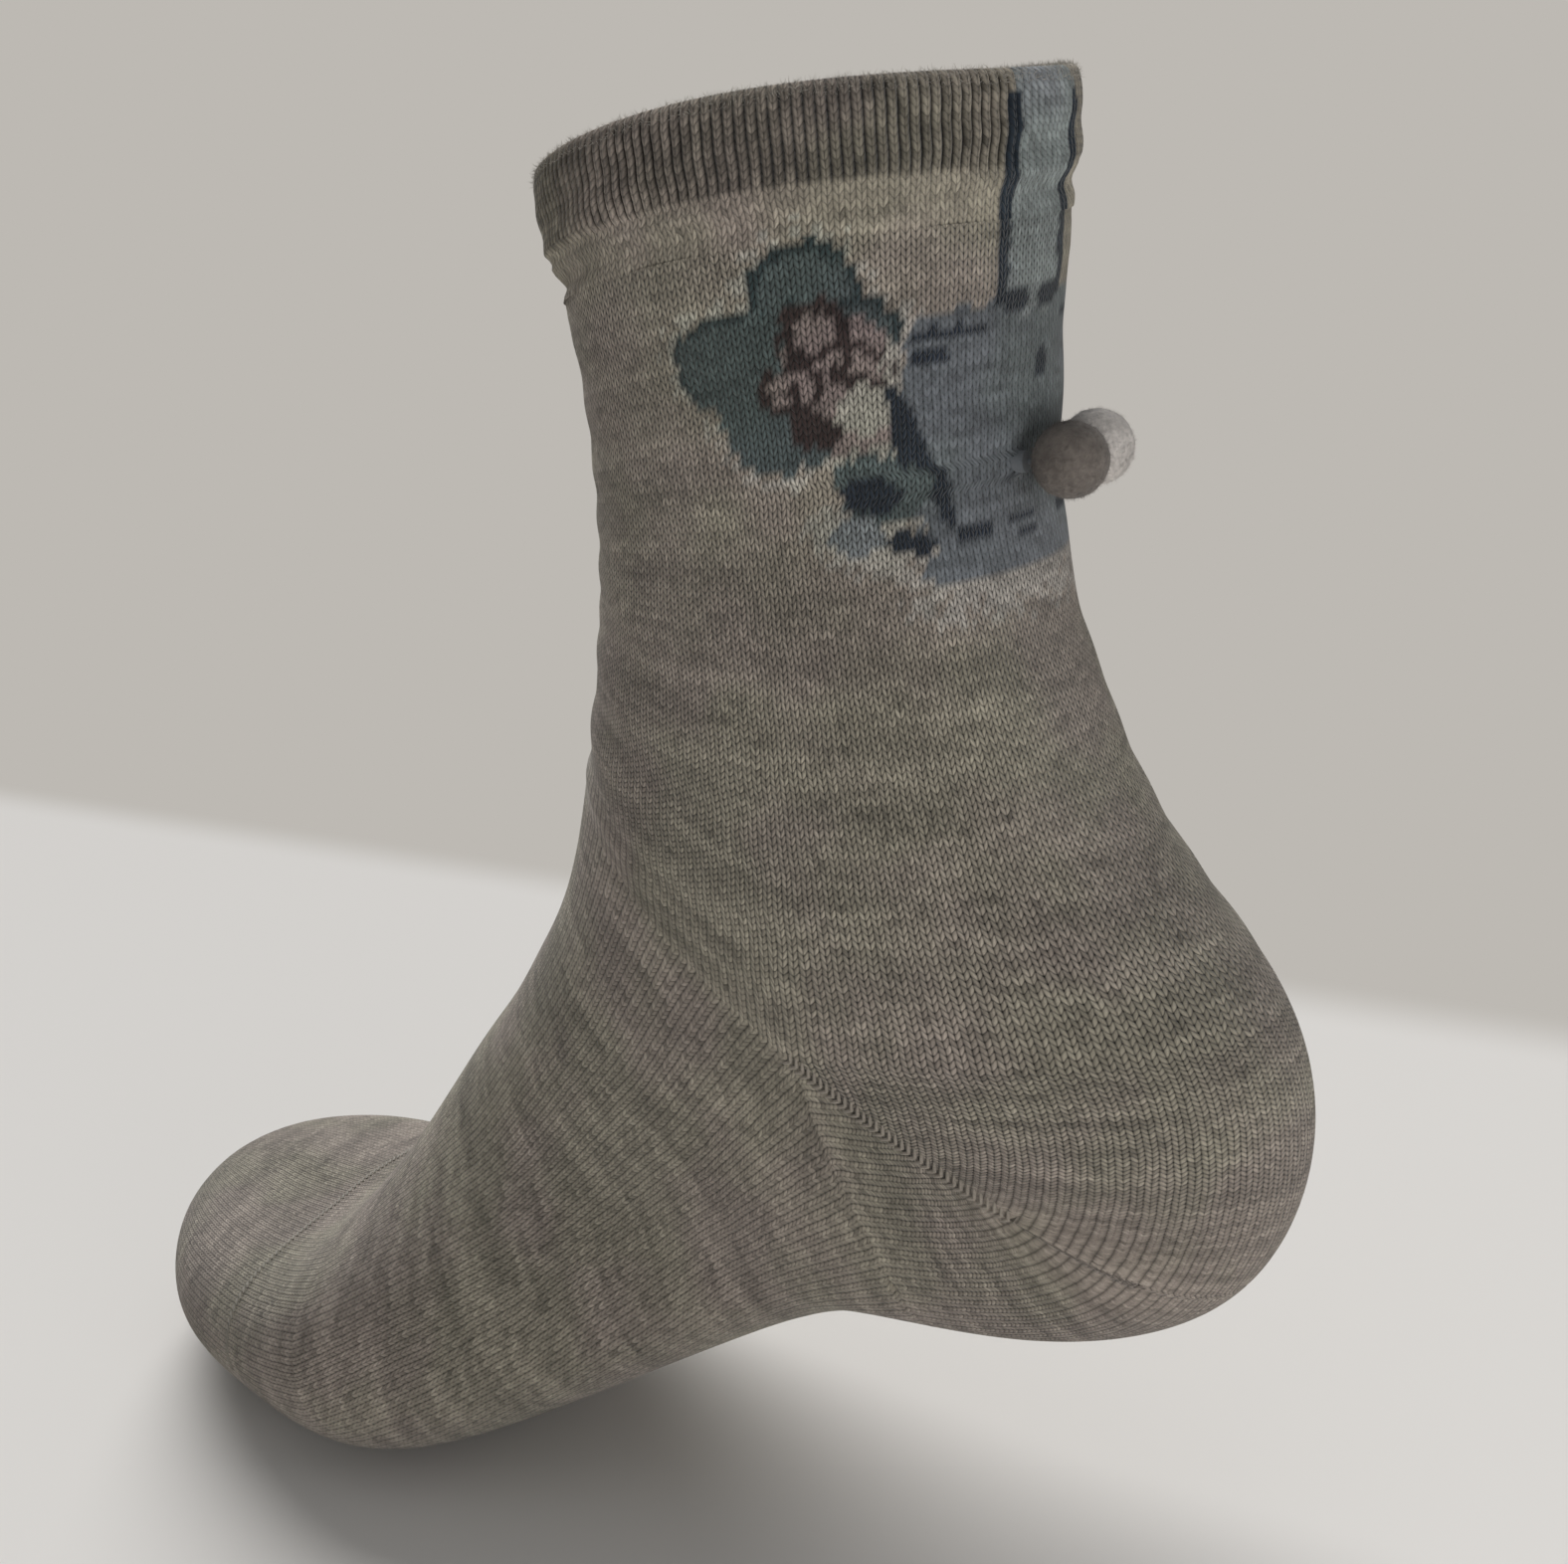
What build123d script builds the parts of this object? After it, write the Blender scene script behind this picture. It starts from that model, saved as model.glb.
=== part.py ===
"""Novelty ankle sock with a knitted-in figure and two clasped magnet paws.

Frame: origin at the middle of the leg opening, +Z up the leg, -Y towards the toes, +X the
outer side of the left foot.  The sock has the shape it takes when worn with the heel raised:
a hollow knitted tube from the rim of the cuff to the closed toe.
"""
from build123d import *
from dataclasses import dataclass
from math import copysign, cos, pi, radians, sin
import os

# ---- fabric --------------------------------------------------------------------------
PLY = 1.2               # single knitted fabric of leg, heel, foot and toe
WELT_PLY = 0.8          # each of the two plies of the turned cuff
WELT_POCKET = 0.8       # room between the plies for the elastic
HEM_DEPTH = 18.3        # lower edge of the cuff below the rim
HEM_ROW = 0.9           # height of the hem's single linked row
RIM_FOLD = 1.6          # height of the solid fold along the rim
SECTION_POINTS = 12     # points of the curve round each section

# ---- rim: an arch across the leg that droops over the instep --------------------------
RIM_RADIUS = 180.0
RIM_CROWN_Y = 16.0

# ---- elastic in the cuff --------------------------------------------------------------
ELASTIC_ROWS = 3
ELASTIC_PITCH = 2.2
ELASTIC_HEIGHT = 1.0
ELASTIC_SLACK = 0.25

# ---- knitted zones, in the side view (Y, Z) -------------------------------------------
GORE_APEX = (-1.0, -130.5)      # where leg, heel and foot meet on each side of the ankle
ANKLE_ANGLE = 142.0             # fold of the ankle, from the apex over the instep
GORE_ANGLE = -37.8              # gore between the two halves of the heel
SOLE_ANGLE = -75.5              # last course of the heel, from the apex to the sole
GORE_LENGTH = 38.0
GORE_WIDTH = 1.8
TOE_SOLE = (-120.0, -280.0)     # a line across the foot behind the toes
TOE_TOP = (-124.0, -150.0)
TOE_MIDDLE = (-122.4, -203.0)
TOE_GORE_LENGTH = 40.0
TOE_ANGLE = 181.0               # gore between the top and sole of the toe
SEAM_ANGLE = 92.0               # linking seam, from the gore over the top of the foot
REACH = 130.0                   # past every outline of the sock

# ---- figures knitted into the leg ------------------------------------------------------
BODY_WIDTH, BODY_HEIGHT, BODY_Z = 46.0, 36.0, -48.0
COMPANION_WIDTH, COMPANION_HEIGHT = 30.0, 26.0
COMPANION_CENTRE = (8.0, -33.0)
COMPANION_FEET = (13.0, 22.0)
COMPANION_FEET_CENTRE = (16.5, -51.0)
CORNER = 8.0
EAR_WIDTH = 16.0
FLOAT_SLACK = 0.2
FLOAT_THICKNESS = 0.5
FLOAT_HEIGHT = 0.7
FLOAT_PITCH = 3.4
FLOAT_ROWS = 11

# ---- paws ------------------------------------------------------------------------------
PAW_RADIUS = 5.6
PAW_COVER = 0.6
PAW_X, PAW_Y, PAW_Z = 5.0, 37.7, -51.0
CLASP_GAP = 0.15                # from the middle plane to each flattened face
MAGNET_RADIUS, MAGNET_THICKNESS = 2.3, 2.4
MAGNET_COVER = 0.4              # filling between the cover and the magnet
KNOT_RADIUS = 0.7
TETHER_RADIUS = 0.55
TETHER_PIVOT_Y = 32.5
TETHER_END_Y = 40.2
CHANNEL_RADIUS = 1.0
CHANNEL_START_Y, CHANNEL_END_Y = 31.0, 40.8
ANCHOR_RADIUS = 1.5
ANCHOR_FACE_Y = 31.4            # outer end of each tack, just proud of the fabric
ANCHOR_DEPTH = 4.2              # through the fabric to the back of the inside plate
ANCHOR_PLATE_RADIUS, ANCHOR_PLATE = 2.6, 0.8


@dataclass(frozen=True)
class Station:
    """One section across the sock: its front and back points in the side view."""
    name: str
    front: tuple
    back: tuple
    half_width: float
    shift: float
    squareness: float = 2.0


STATIONS = [
    Station("above_rim", (-38.5, 12.0), (38.5, 9.0), 34.0, -0.5),
    Station("rim", (-38.0, 1.5), (38.0, -1.5), 34.5, -1.0),
    Station("hem", (-37.5, -17.5), (35.0, -22.0), 35.0, -2.0),
    Station("calf", (-37.0, -36.0), (31.5, -45.5), 33.5, -3.0),
    Station("lower_leg", (-39.5, -66.5), (32.5, -73.0), 31.5, -2.0),
    Station("above_ankle", (-44.5, -87.5), (38.5, -92.5), 31.5, -1.0),
    Station("ankle", (-50.5, -106.5), (48.5, -111.5), 31.5, 0.0),
    Station("heel_top", (-57.0, -120.0), (62.0, -132.5), 32.0, 0.5, 2.05),
    Station("heel_back", (-64.5, -130.0), (64.0, -155.0), 31.5, 0.0, 2.1),
    Station("heel_round", (-71.5, -139.0), (53.5, -176.0), 30.0, 0.0, 2.15),
    Station("heel_base", (-80.0, -148.0), (35.5, -184.0), 28.5, -1.0, 2.2),
    Station("arch_back", (-88.5, -159.0), (7.5, -182.5), 29.5, -1.5, 2.3),
    Station("arch_front", (-96.5, -170.5), (-25.0, -192.5), 34.5, 0.0, 2.4),
    Station("instep", (-105.5, -180.0), (-56.5, -208.0), 39.0, 1.5, 2.5),
    Station("ball", (-115.0, -186.5), (-86.5, -219.0), 41.5, 2.0, 2.6),
    Station("toe_root", (-128.0, -189.0), (-113.5, -219.0), 40.5, -2.5, 2.6),
    Station("toe_front", (-155.5, -191.0), (-156.0, -218.0), 30.0, -12.5, 2.5),
    Station("toe_end", (-166.5, -193.5), (-167.5, -215.5), 20.0, -16.5, 2.3),
    Station("toe_tip", (-171.5, -199.0), (-172.5, -210.5), 6.0, -17.5),
]
LEG_STATIONS = STATIONS[:9]


def rounded_power(value, squareness):
    """Signed power that turns a circle into a slightly squared oval."""
    return copysign(abs(value) ** (2 / squareness), value)


def station_plane(station, back_off=0.0):
    """Plane of a section: local x is +X, local y runs from front to back."""
    (front_y, front_z), (back_y, back_z) = station.front, station.back
    across = Vector(0, back_y - front_y, back_z - front_z).normalized()
    normal = Vector(1, 0, 0).cross(across)
    middle = Vector(station.shift, (front_y + back_y) / 2, (front_z + back_z) / 2)
    return Plane(origin=middle + normal * back_off, x_dir=(1, 0, 0), z_dir=normal)


def section_curve(station, inset):
    """Points round the section, starting at its front."""
    front, back = Vector(0, *station.front), Vector(0, *station.back)
    half_depth = (back - front).length / 2 - inset
    half_width = station.half_width - inset
    turns = [2 * pi * step / SECTION_POINTS for step in range(SECTION_POINTS)]
    return [
        (
            half_width * rounded_power(sin(turn), station.squareness),
            -half_depth * rounded_power(cos(turn), station.squareness),
        )
        for turn in turns
    ]


def sock_form(stations, inset):
    """Solid that fills the sock, its skin the given distance inside the outer face."""
    closed_end = stations[-1] is STATIONS[-1]
    with BuildPart() as form:
        for station in stations:
            at_tip = closed_end and station is stations[-1]
            with BuildSketch(station_plane(station, inset if at_tip else 0.0)):
                with BuildLine():
                    Spline(*section_curve(station, inset), periodic=True)
                make_face()
        loft()
    return form.part


def along(start, angle, distance):
    """Point in the side view at a distance and an angle above the +Y direction."""
    return (
        start[0] + distance * cos(radians(angle)),
        start[1] + distance * sin(radians(angle)),
    )


def side_zone(*corners):
    """Prism across the whole sock over an outline in the side view."""
    with BuildPart() as zone:
        with BuildSketch(Plane.YZ):
            with BuildLine():
                Polyline(*corners, close=True)
            make_face()
        extrude(amount=REACH / 2, both=True)
    return zone.part


def side_strip(start, angle, length, width):
    """Thin prism across the sock that follows a line in the side view."""
    half = width / 2
    lower, upper = along(start, angle - 90, half), along(start, angle + 90, half)
    return side_zone(lower, along(lower, angle, length), along(upper, angle, length), upper)


def cut_from(source, label, keep, remove=()):
    """Fabric piece: what keep holds of a source solid, less the solids in remove."""
    with BuildPart() as piece:
        add(source)
        add(keep, mode=Mode.INTERSECT)
        for solid in remove:
            add(solid, mode=Mode.SUBTRACT)
    piece.part.label = label
    export_step(piece.part, f"parts/{label}.step")
    return piece.part


os.makedirs("parts", exist_ok=True)

# ==== forms and the fabric between them =================================================
outer_form = sock_form(STATIONS, 0.0)
inner_form = sock_form(STATIONS, PLY)
welt_pocket_outer = sock_form(LEG_STATIONS, WELT_PLY)
welt_pocket_inner = sock_form(LEG_STATIONS, WELT_PLY + WELT_POCKET)
welt_inside = sock_form(LEG_STATIONS, 2 * WELT_PLY + WELT_POCKET)

with BuildPart() as fabric:
    add(outer_form)
    add(inner_form, mode=Mode.SUBTRACT)

with BuildPart() as below_rim:
    with BuildSketch(Plane.YZ):
        with Locations((RIM_CROWN_Y, -RIM_RADIUS)):
            Circle(RIM_RADIUS)
    extrude(amount=REACH / 2, both=True)

with BuildPart() as below_fold:
    with BuildSketch(Plane.YZ):
        with Locations((RIM_CROWN_Y, -RIM_RADIUS)):
            Circle(RIM_RADIUS - RIM_FOLD)
    extrude(amount=REACH / 2, both=True)

# ==== cuff ==============================================================================
cuff_zone = side_zone((-REACH, -HEM_DEPTH), (REACH, -HEM_DEPTH), (REACH, 40), (-REACH, 40))
hem_zone = side_zone(
    (-REACH, -HEM_DEPTH),
    (REACH, -HEM_DEPTH),
    (REACH, HEM_ROW - HEM_DEPTH),
    (-REACH, HEM_ROW - HEM_DEPTH),
)

with BuildPart() as turned_cuff:
    add(outer_form)
    add(welt_inside, mode=Mode.SUBTRACT)
    add(below_rim.part, mode=Mode.INTERSECT)
    add(cuff_zone, mode=Mode.INTERSECT)

with BuildPart() as elastic_room:
    add(welt_pocket_outer)
    add(welt_pocket_inner, mode=Mode.SUBTRACT)
    add(below_fold.part, mode=Mode.INTERSECT)

with BuildPart() as ear_zone:
    with BuildSketch(Plane.XZ):
        with Locations((0, -HEM_DEPTH / 2)):
            Rectangle(EAR_WIDTH, 3 * HEM_DEPTH)
    extrude(amount=-REACH)

with BuildPart() as outer_ply:
    add(outer_form)
    add(welt_pocket_outer, mode=Mode.SUBTRACT)
    add(below_fold.part, mode=Mode.INTERSECT)
    add(cuff_zone, mode=Mode.INTERSECT)

ear_inlay = cut_from(outer_ply.part, "ear_inlay", ear_zone.part, [hem_zone])
cut_from(turned_cuff.part, "hem_row", hem_zone)
cut_from(turned_cuff.part, "welt", cuff_zone, [elastic_room.part, hem_zone, ear_inlay])

with BuildPart() as elastic_yarns:
    add(sock_form(LEG_STATIONS, WELT_PLY + ELASTIC_SLACK))
    add(sock_form(LEG_STATIONS, WELT_PLY + WELT_POCKET - ELASTIC_SLACK), mode=Mode.SUBTRACT)
    with BuildSketch(Plane.YZ):
        with Locations((RIM_CROWN_Y, -RIM_RADIUS)):
            for row in range(ELASTIC_ROWS):
                row_radius = RIM_RADIUS - RIM_FOLD - ELASTIC_SLACK - row * ELASTIC_PITCH
                Circle(row_radius)
                Circle(row_radius - ELASTIC_HEIGHT, mode=Mode.SUBTRACT)
    extrude(amount=REACH / 2, both=True, mode=Mode.INTERSECT)
elastic_yarns.part.label = "elastic_yarns"
export_step(elastic_yarns.part, "parts/elastic_yarns.step")

# ==== leg and its figures ===============================================================
ankle_end = along(GORE_APEX, ANKLE_ANGLE, REACH)
back_end = (REACH, GORE_APEX[1])
gore_end = along(GORE_APEX, GORE_ANGLE, REACH)
sole_end = along(GORE_APEX, SOLE_ANGLE, REACH)

leg_zone = side_zone(
    GORE_APEX, back_end, (REACH, -HEM_DEPTH), (-REACH, -HEM_DEPTH), (-REACH, ankle_end[1]), ankle_end
)

with BuildPart() as companion_zone:
    with BuildSketch(Plane.YZ):
        with Locations(COMPANION_CENTRE):
            RectangleRounded(COMPANION_WIDTH, COMPANION_HEIGHT, CORNER)
        with Locations(COMPANION_FEET_CENTRE):
            Rectangle(*COMPANION_FEET)
    extrude(amount=REACH)

with BuildPart() as body_zone:
    with BuildSketch(Plane.XZ):
        with Locations((0, BODY_Z)):
            RectangleRounded(BODY_WIDTH, BODY_HEIGHT, CORNER)
    extrude(amount=-REACH)

with BuildPart() as anchor_holes:
    with BuildSketch(Plane.XZ):
        with Locations((-PAW_X, PAW_Z), (PAW_X, PAW_Z)):
            Circle(ANCHOR_RADIUS)
    extrude(amount=-REACH)

cut_from(fabric.part, "leg_tube", leg_zone, [companion_zone.part, body_zone.part])
cut_from(fabric.part, "companion_panel", companion_zone.part)
cut_from(
    fabric.part, "figure_panel", body_zone.part, [companion_zone.part, anchor_holes.part]
)

with BuildPart() as float_yarns:
    add(sock_form(LEG_STATIONS, PLY + FLOAT_SLACK))
    add(sock_form(LEG_STATIONS, PLY + FLOAT_SLACK + FLOAT_THICKNESS), mode=Mode.SUBTRACT)
    add(body_zone.part + companion_zone.part, mode=Mode.INTERSECT)
    with BuildSketch(Plane.YZ):
        with Locations((0, COMPANION_CENTRE[1] - CORNER)):
            with GridLocations(1, FLOAT_PITCH, 1, FLOAT_ROWS):
                Rectangle(REACH, FLOAT_HEIGHT)
    extrude(amount=REACH / 2, both=True, mode=Mode.INTERSECT)
    with BuildSketch(Plane.XZ):
        with Locations((-PAW_X, PAW_Z), (PAW_X, PAW_Z)):
            Circle(ANCHOR_PLATE_RADIUS)
    extrude(amount=-REACH, mode=Mode.SUBTRACT)
float_yarns.part.label = "float_yarns"
export_step(float_yarns.part, "parts/float_yarns.step")

# ==== heel ==============================================================================
gore_strip = side_strip(GORE_APEX, GORE_ANGLE, GORE_LENGTH, GORE_WIDTH)
outer_half = Box(REACH, 6 * REACH, 6 * REACH, align=(Align.MIN, Align.CENTER, Align.CENTER))
inner_half = Box(REACH, 6 * REACH, 6 * REACH, align=(Align.MAX, Align.CENTER, Align.CENTER))
heel_zone = side_zone(GORE_APEX, back_end, (REACH, gore_end[1]), gore_end, sole_end)
heel_upper_zone = side_zone(GORE_APEX, back_end, (REACH, gore_end[1]), gore_end)
heel_lower_zone = side_zone(GORE_APEX, gore_end, sole_end)

cut_from(fabric.part, "heel_upper", heel_upper_zone, [gore_strip])
cut_from(fabric.part, "heel_lower", heel_lower_zone, [gore_strip])
for side, half in (("outer", outer_half), ("inner", inner_half)):
    with BuildPart() as half_strip:
        add(gore_strip)
        add(half, mode=Mode.INTERSECT)
        add(heel_zone, mode=Mode.INTERSECT)
    cut_from(fabric.part, f"heel_gore_{side}", half_strip.part)

# ==== foot and toe ======================================================================
toe_gore_strip = side_strip(TOE_MIDDLE, TOE_ANGLE, TOE_GORE_LENGTH, GORE_WIDTH)
seam_strip = side_strip(TOE_MIDDLE, SEAM_ANGLE, REACH / 2, GORE_WIDTH)
foot_zone = side_zone(GORE_APEX, sole_end, TOE_SOLE, TOE_MIDDLE, TOE_TOP, ankle_end)
toe_tip_point = along(TOE_MIDDLE, TOE_ANGLE, REACH)
toe_top_zone = side_zone(TOE_MIDDLE, TOE_TOP, (toe_tip_point[0], TOE_TOP[1]), toe_tip_point)
toe_sole_zone = side_zone(TOE_MIDDLE, toe_tip_point, (toe_tip_point[0], TOE_SOLE[1]), TOE_SOLE)

cut_from(fabric.part, "foot_tube", foot_zone, [seam_strip, toe_gore_strip])
cut_from(fabric.part, "toe_top", toe_top_zone, [seam_strip, toe_gore_strip])
cut_from(fabric.part, "toe_sole", toe_sole_zone, [toe_gore_strip])
cut_from(fabric.part, "toe_seam", seam_strip, [toe_gore_strip])
for side, half in (("outer", outer_half), ("inner", inner_half)):
    with BuildPart() as half_strip:
        add(toe_gore_strip)
        add(half, mode=Mode.INTERSECT)
    cut_from(fabric.part, f"toe_gore_{side}", half_strip.part)


# ==== paws ==============================================================================
def paw_ball(side, radius, face_gap):
    """Ball of a paw, flattened where the two paws clasp."""
    with BuildPart() as ball:
        with Locations((side * PAW_X, PAW_Y, PAW_Z)):
            Sphere(radius)
        split(bisect_by=Plane.YZ.offset(side * face_gap), keep=Keep.TOP if side > 0 else Keep.BOTTOM)
    return ball.part


def rod_along_y(side, radius, start_y, end_y):
    """Round rod through a paw's axis."""
    with BuildPart() as rod:
        with BuildSketch(Plane(origin=(side * PAW_X, start_y, PAW_Z), z_dir=(0, 1, 0))):
            Circle(radius)
        extrude(amount=end_y - start_y)
    return rod.part


for side, name in ((1, "outer"), (-1, "inner")):
    face_x = CLASP_GAP + PAW_COVER
    core = paw_ball(side, PAW_RADIUS - PAW_COVER, face_x)
    channel = rod_along_y(side, CHANNEL_RADIUS, CHANNEL_START_Y, CHANNEL_END_Y)

    with BuildPart() as cover:
        add(paw_ball(side, PAW_RADIUS, CLASP_GAP))
        add(core, mode=Mode.SUBTRACT)
        add(channel, mode=Mode.SUBTRACT)
    cover.part.label = f"paw_cover_{name}"
    export_step(cover.part, f"parts/paw_cover_{name}.step")

    with BuildPart() as magnet:
        with BuildSketch(Plane.YZ.offset(side * (face_x + MAGNET_COVER))):
            with Locations((PAW_Y, PAW_Z)):
                Circle(MAGNET_RADIUS)
        extrude(amount=side * MAGNET_THICKNESS)
    magnet.part.label = f"paw_magnet_{name}"
    export_step(magnet.part, f"parts/paw_magnet_{name}.step")

    with BuildPart() as filling:
        add(core)
        add(channel, mode=Mode.SUBTRACT)
        add(magnet.part, mode=Mode.SUBTRACT)
    filling.part.label = f"paw_filling_{name}"
    export_step(filling.part, f"parts/paw_filling_{name}.step")

    with BuildPart() as tether:
        add(rod_along_y(side, TETHER_RADIUS, TETHER_PIVOT_Y, TETHER_END_Y))
        with Locations((side * PAW_X, TETHER_PIVOT_Y, PAW_Z)):
            Sphere(KNOT_RADIUS)
        with Locations((side * PAW_X, TETHER_END_Y - KNOT_RADIUS, PAW_Z)):
            Sphere(KNOT_RADIUS)
    tether.part.label = f"tether_{name}"
    export_step(tether.part, f"parts/tether_{name}.step")

    with BuildPart() as anchor:
        back_y = ANCHOR_FACE_Y - ANCHOR_DEPTH
        add(rod_along_y(side, ANCHOR_RADIUS, back_y, ANCHOR_FACE_Y))
        add(rod_along_y(side, ANCHOR_PLATE_RADIUS, back_y, back_y + ANCHOR_PLATE))
    anchor.part.label = f"tether_anchor_{name}"
    export_step(anchor.part, f"parts/tether_anchor_{name}.step")
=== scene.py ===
"""Knitted ankle sock with a figure worked into its leg and two clasped felt paws.

The knitted pieces are grids of courses and wales laid on the outer face of the CAD sock, so
every place in the scene comes from the frame.  Lengths are metres unless a name says
otherwise.
"""

import logging
import math
from dataclasses import dataclass
from enum import Enum
from typing import Callable, Iterable, Sequence

import bpy
import numpy as np
from mathutils import Matrix, Vector
from mathutils.bvhtree import BVHTree


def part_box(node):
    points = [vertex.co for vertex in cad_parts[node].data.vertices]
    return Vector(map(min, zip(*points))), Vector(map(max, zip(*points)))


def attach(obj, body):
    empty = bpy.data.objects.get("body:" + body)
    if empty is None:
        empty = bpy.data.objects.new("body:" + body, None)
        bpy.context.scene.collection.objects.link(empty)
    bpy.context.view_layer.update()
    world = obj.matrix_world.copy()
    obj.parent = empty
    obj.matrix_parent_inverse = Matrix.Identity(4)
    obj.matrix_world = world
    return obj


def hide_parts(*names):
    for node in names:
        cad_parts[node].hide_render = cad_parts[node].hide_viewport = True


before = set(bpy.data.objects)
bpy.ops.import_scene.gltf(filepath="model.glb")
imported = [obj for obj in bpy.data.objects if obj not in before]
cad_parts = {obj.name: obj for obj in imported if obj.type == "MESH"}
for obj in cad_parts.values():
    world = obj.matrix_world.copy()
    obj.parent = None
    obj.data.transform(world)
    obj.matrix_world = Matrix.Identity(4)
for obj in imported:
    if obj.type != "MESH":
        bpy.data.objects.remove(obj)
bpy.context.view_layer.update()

logging.basicConfig(level=logging.INFO, format="%(message)s")
LOG = logging.getLogger("sock")

MM = 0.001
SHARP_ANGLE = math.radians(50)
# Flat size: the cuff's share is set to agree with the worn knit's area.
CUFF_FLAT_DEPTHS = 1.3
Array = np.ndarray

SKIN_NODES = (
    "welt", "hem_row", "ear_inlay", "leg_tube", "figure_panel", "companion_panel",
    "heel_upper", "heel_lower", "heel_gore_outer", "heel_gore_inner", "foot_tube",
    "toe_top", "toe_sole", "toe_seam", "toe_gore_outer", "toe_gore_inner",
    "tether_anchor_outer", "tether_anchor_inner",
)


# ======================================================================== colours
def linear(red: int, green: int, blue: int) -> tuple[float, float, float, float]:
    """Turns display colour levels into a linear colour.

    Args:
        red: Level from 0 to 255.
        green: Level from 0 to 255.
        blue: Level from 0 to 255.

    Returns:
        Linear red, green, blue and an alpha of one.
    """
    def one(level: int) -> float:
        """Linear level of one channel."""
        share = level / 255
        return share / 12.92 if share <= 0.04045 else ((share + 0.055) / 1.055) ** 2.4

    return (one(red), one(green), one(blue), 1.0)


class Yarn(Enum):
    """Yarns of the figure's chart, each a linear colour."""
    GREY = linear(141, 134, 124)
    BLUE = linear(99, 105, 109)
    PALE_BLUE = linear(126, 132, 135)
    TEAL = linear(80, 90, 91)
    DARK_TEAL = linear(50, 61, 63)
    NAVY = linear(38, 45, 54)
    BROWN = linear(58, 48, 47)
    ROSE = linear(136, 124, 121)
    PALE = linear(160, 157, 149)


@dataclass(frozen=True)
class KnitFinish:
    """How a knitted surface looks.

    Attributes:
        relief: Depth of the stitches in metres.
        slant: How far a stitch's outer end lies along the wale, in courses.
        gap: How dark the painted shade in the gaps between wales is, from 0 to 1.
        melange: Strength of the light and dark fibres in the yarn.
        blotch: Strength of the wide olive and mauve areas.
        roughness: Roughness of the surface.
    """
    relief: float = 0.00042
    slant: float = 0.75
    gap: float = 0.98
    melange: float = 0.80
    blotch: float = 0.50
    roughness: float = 0.92


@dataclass(frozen=True)
class YarnFinish:
    """A plain yarn, thread or felt.

    Attributes:
        colour: Linear colour.
        mottle: Strength of the colour's variation.
        grain: Size of the fibres in metres.
        relief: Depth of the fibres in metres.
        roughness: Roughness of the surface.
        metallic: Metallic share.
    """
    colour: tuple[float, float, float, float]
    mottle: float = 0.25
    grain: float = 0.0004
    relief: float = 0.00008
    roughness: float = 0.9
    metallic: float = 0.0


KNIT = KnitFinish()
RIB_KNIT = KnitFinish(relief=0.00030, gap=0.65)
PAW_FELT = YarnFinish(linear(112, 105, 99), mottle=0.9, grain=0.0009, relief=0.00050)
# The far paw is the same felt as the near one, painted paler: painted light for the light that
# falls on the far paw.
PAINTED_LIT_PAW_FELT = YarnFinish(linear(196, 190, 185), mottle=0.8, grain=0.0009, relief=0.00050)
CORD_YARN = YarnFinish(linear(112, 116, 120))
GORE_YARN = YarnFinish(linear(152, 144, 133), mottle=0.5)
SEAM_YARN = YarnFinish(linear(150, 145, 135), mottle=0.3)
FLOAT_YARN = YarnFinish(linear(92, 102, 110))
ELASTIC = YarnFinish(linear(205, 200, 190), roughness=0.6)
FUZZ_FIBRE = YarnFinish(linear(176, 171, 162), relief=0.0)
FILLING = YarnFinish(linear(215, 212, 205))
MAGNET = YarnFinish(linear(190, 190, 192), mottle=0.05, relief=0.0, roughness=0.3, metallic=1.0)


# ======================================================================== shader graph
class Value:
    """A number that flows through a shader graph, with ordinary arithmetic."""

    def __init__(self, graph: "Graph", socket: bpy.types.NodeSocket) -> None:
        """Holds one socket of a graph."""
        self.graph, self.socket = graph, socket

    def _math(self, operation: str, *others: "Value | float") -> "Value":
        """Adds a Math node and returns its result."""
        node = self.graph.tree.nodes.new("ShaderNodeMath")
        node.operation = operation
        for slot, item in enumerate((self, *others)):
            self.graph.feed(node.inputs[slot], item)
        return Value(self.graph, node.outputs[0])

    def __add__(self, other: "Value | float") -> "Value":
        """Sum."""
        return self._math("ADD", other)

    def __sub__(self, other: "Value | float") -> "Value":
        """Difference."""
        return self._math("SUBTRACT", other)

    def __mul__(self, other: "Value | float") -> "Value":
        """Product."""
        return self._math("MULTIPLY", other)

    def __truediv__(self, other: "Value | float") -> "Value":
        """Quotient."""
        return self._math("DIVIDE", other)

    def __pow__(self, other: "Value | float") -> "Value":
        """Power."""
        return self._math("POWER", other)

    def __rsub__(self, other: float) -> "Value":
        """Difference from a plain number."""
        return self * -1.0 + other

    def floor(self) -> "Value":
        """Largest whole number not above this one."""
        return self._math("FLOOR")

    def fraction(self) -> "Value":
        """What is left above the floor."""
        return self._math("FRACT")

    def size(self) -> "Value":
        """Distance from zero."""
        return self._math("ABSOLUTE")

    def at_least(self, low: float) -> "Value":
        """This number, but not below the given one."""
        return self._math("MAXIMUM", low)

    def ramp(self, start: float, end: float) -> "Value":
        """Runs smoothly from 0 at start to 1 at end."""
        return Value(self.graph, self.graph.node(
            "ShaderNodeMapRange", {"interpolation_type": "SMOOTHSTEP"},
            {"Value": self, "From Min": start, "From Max": end}).outputs["Result"])


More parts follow.
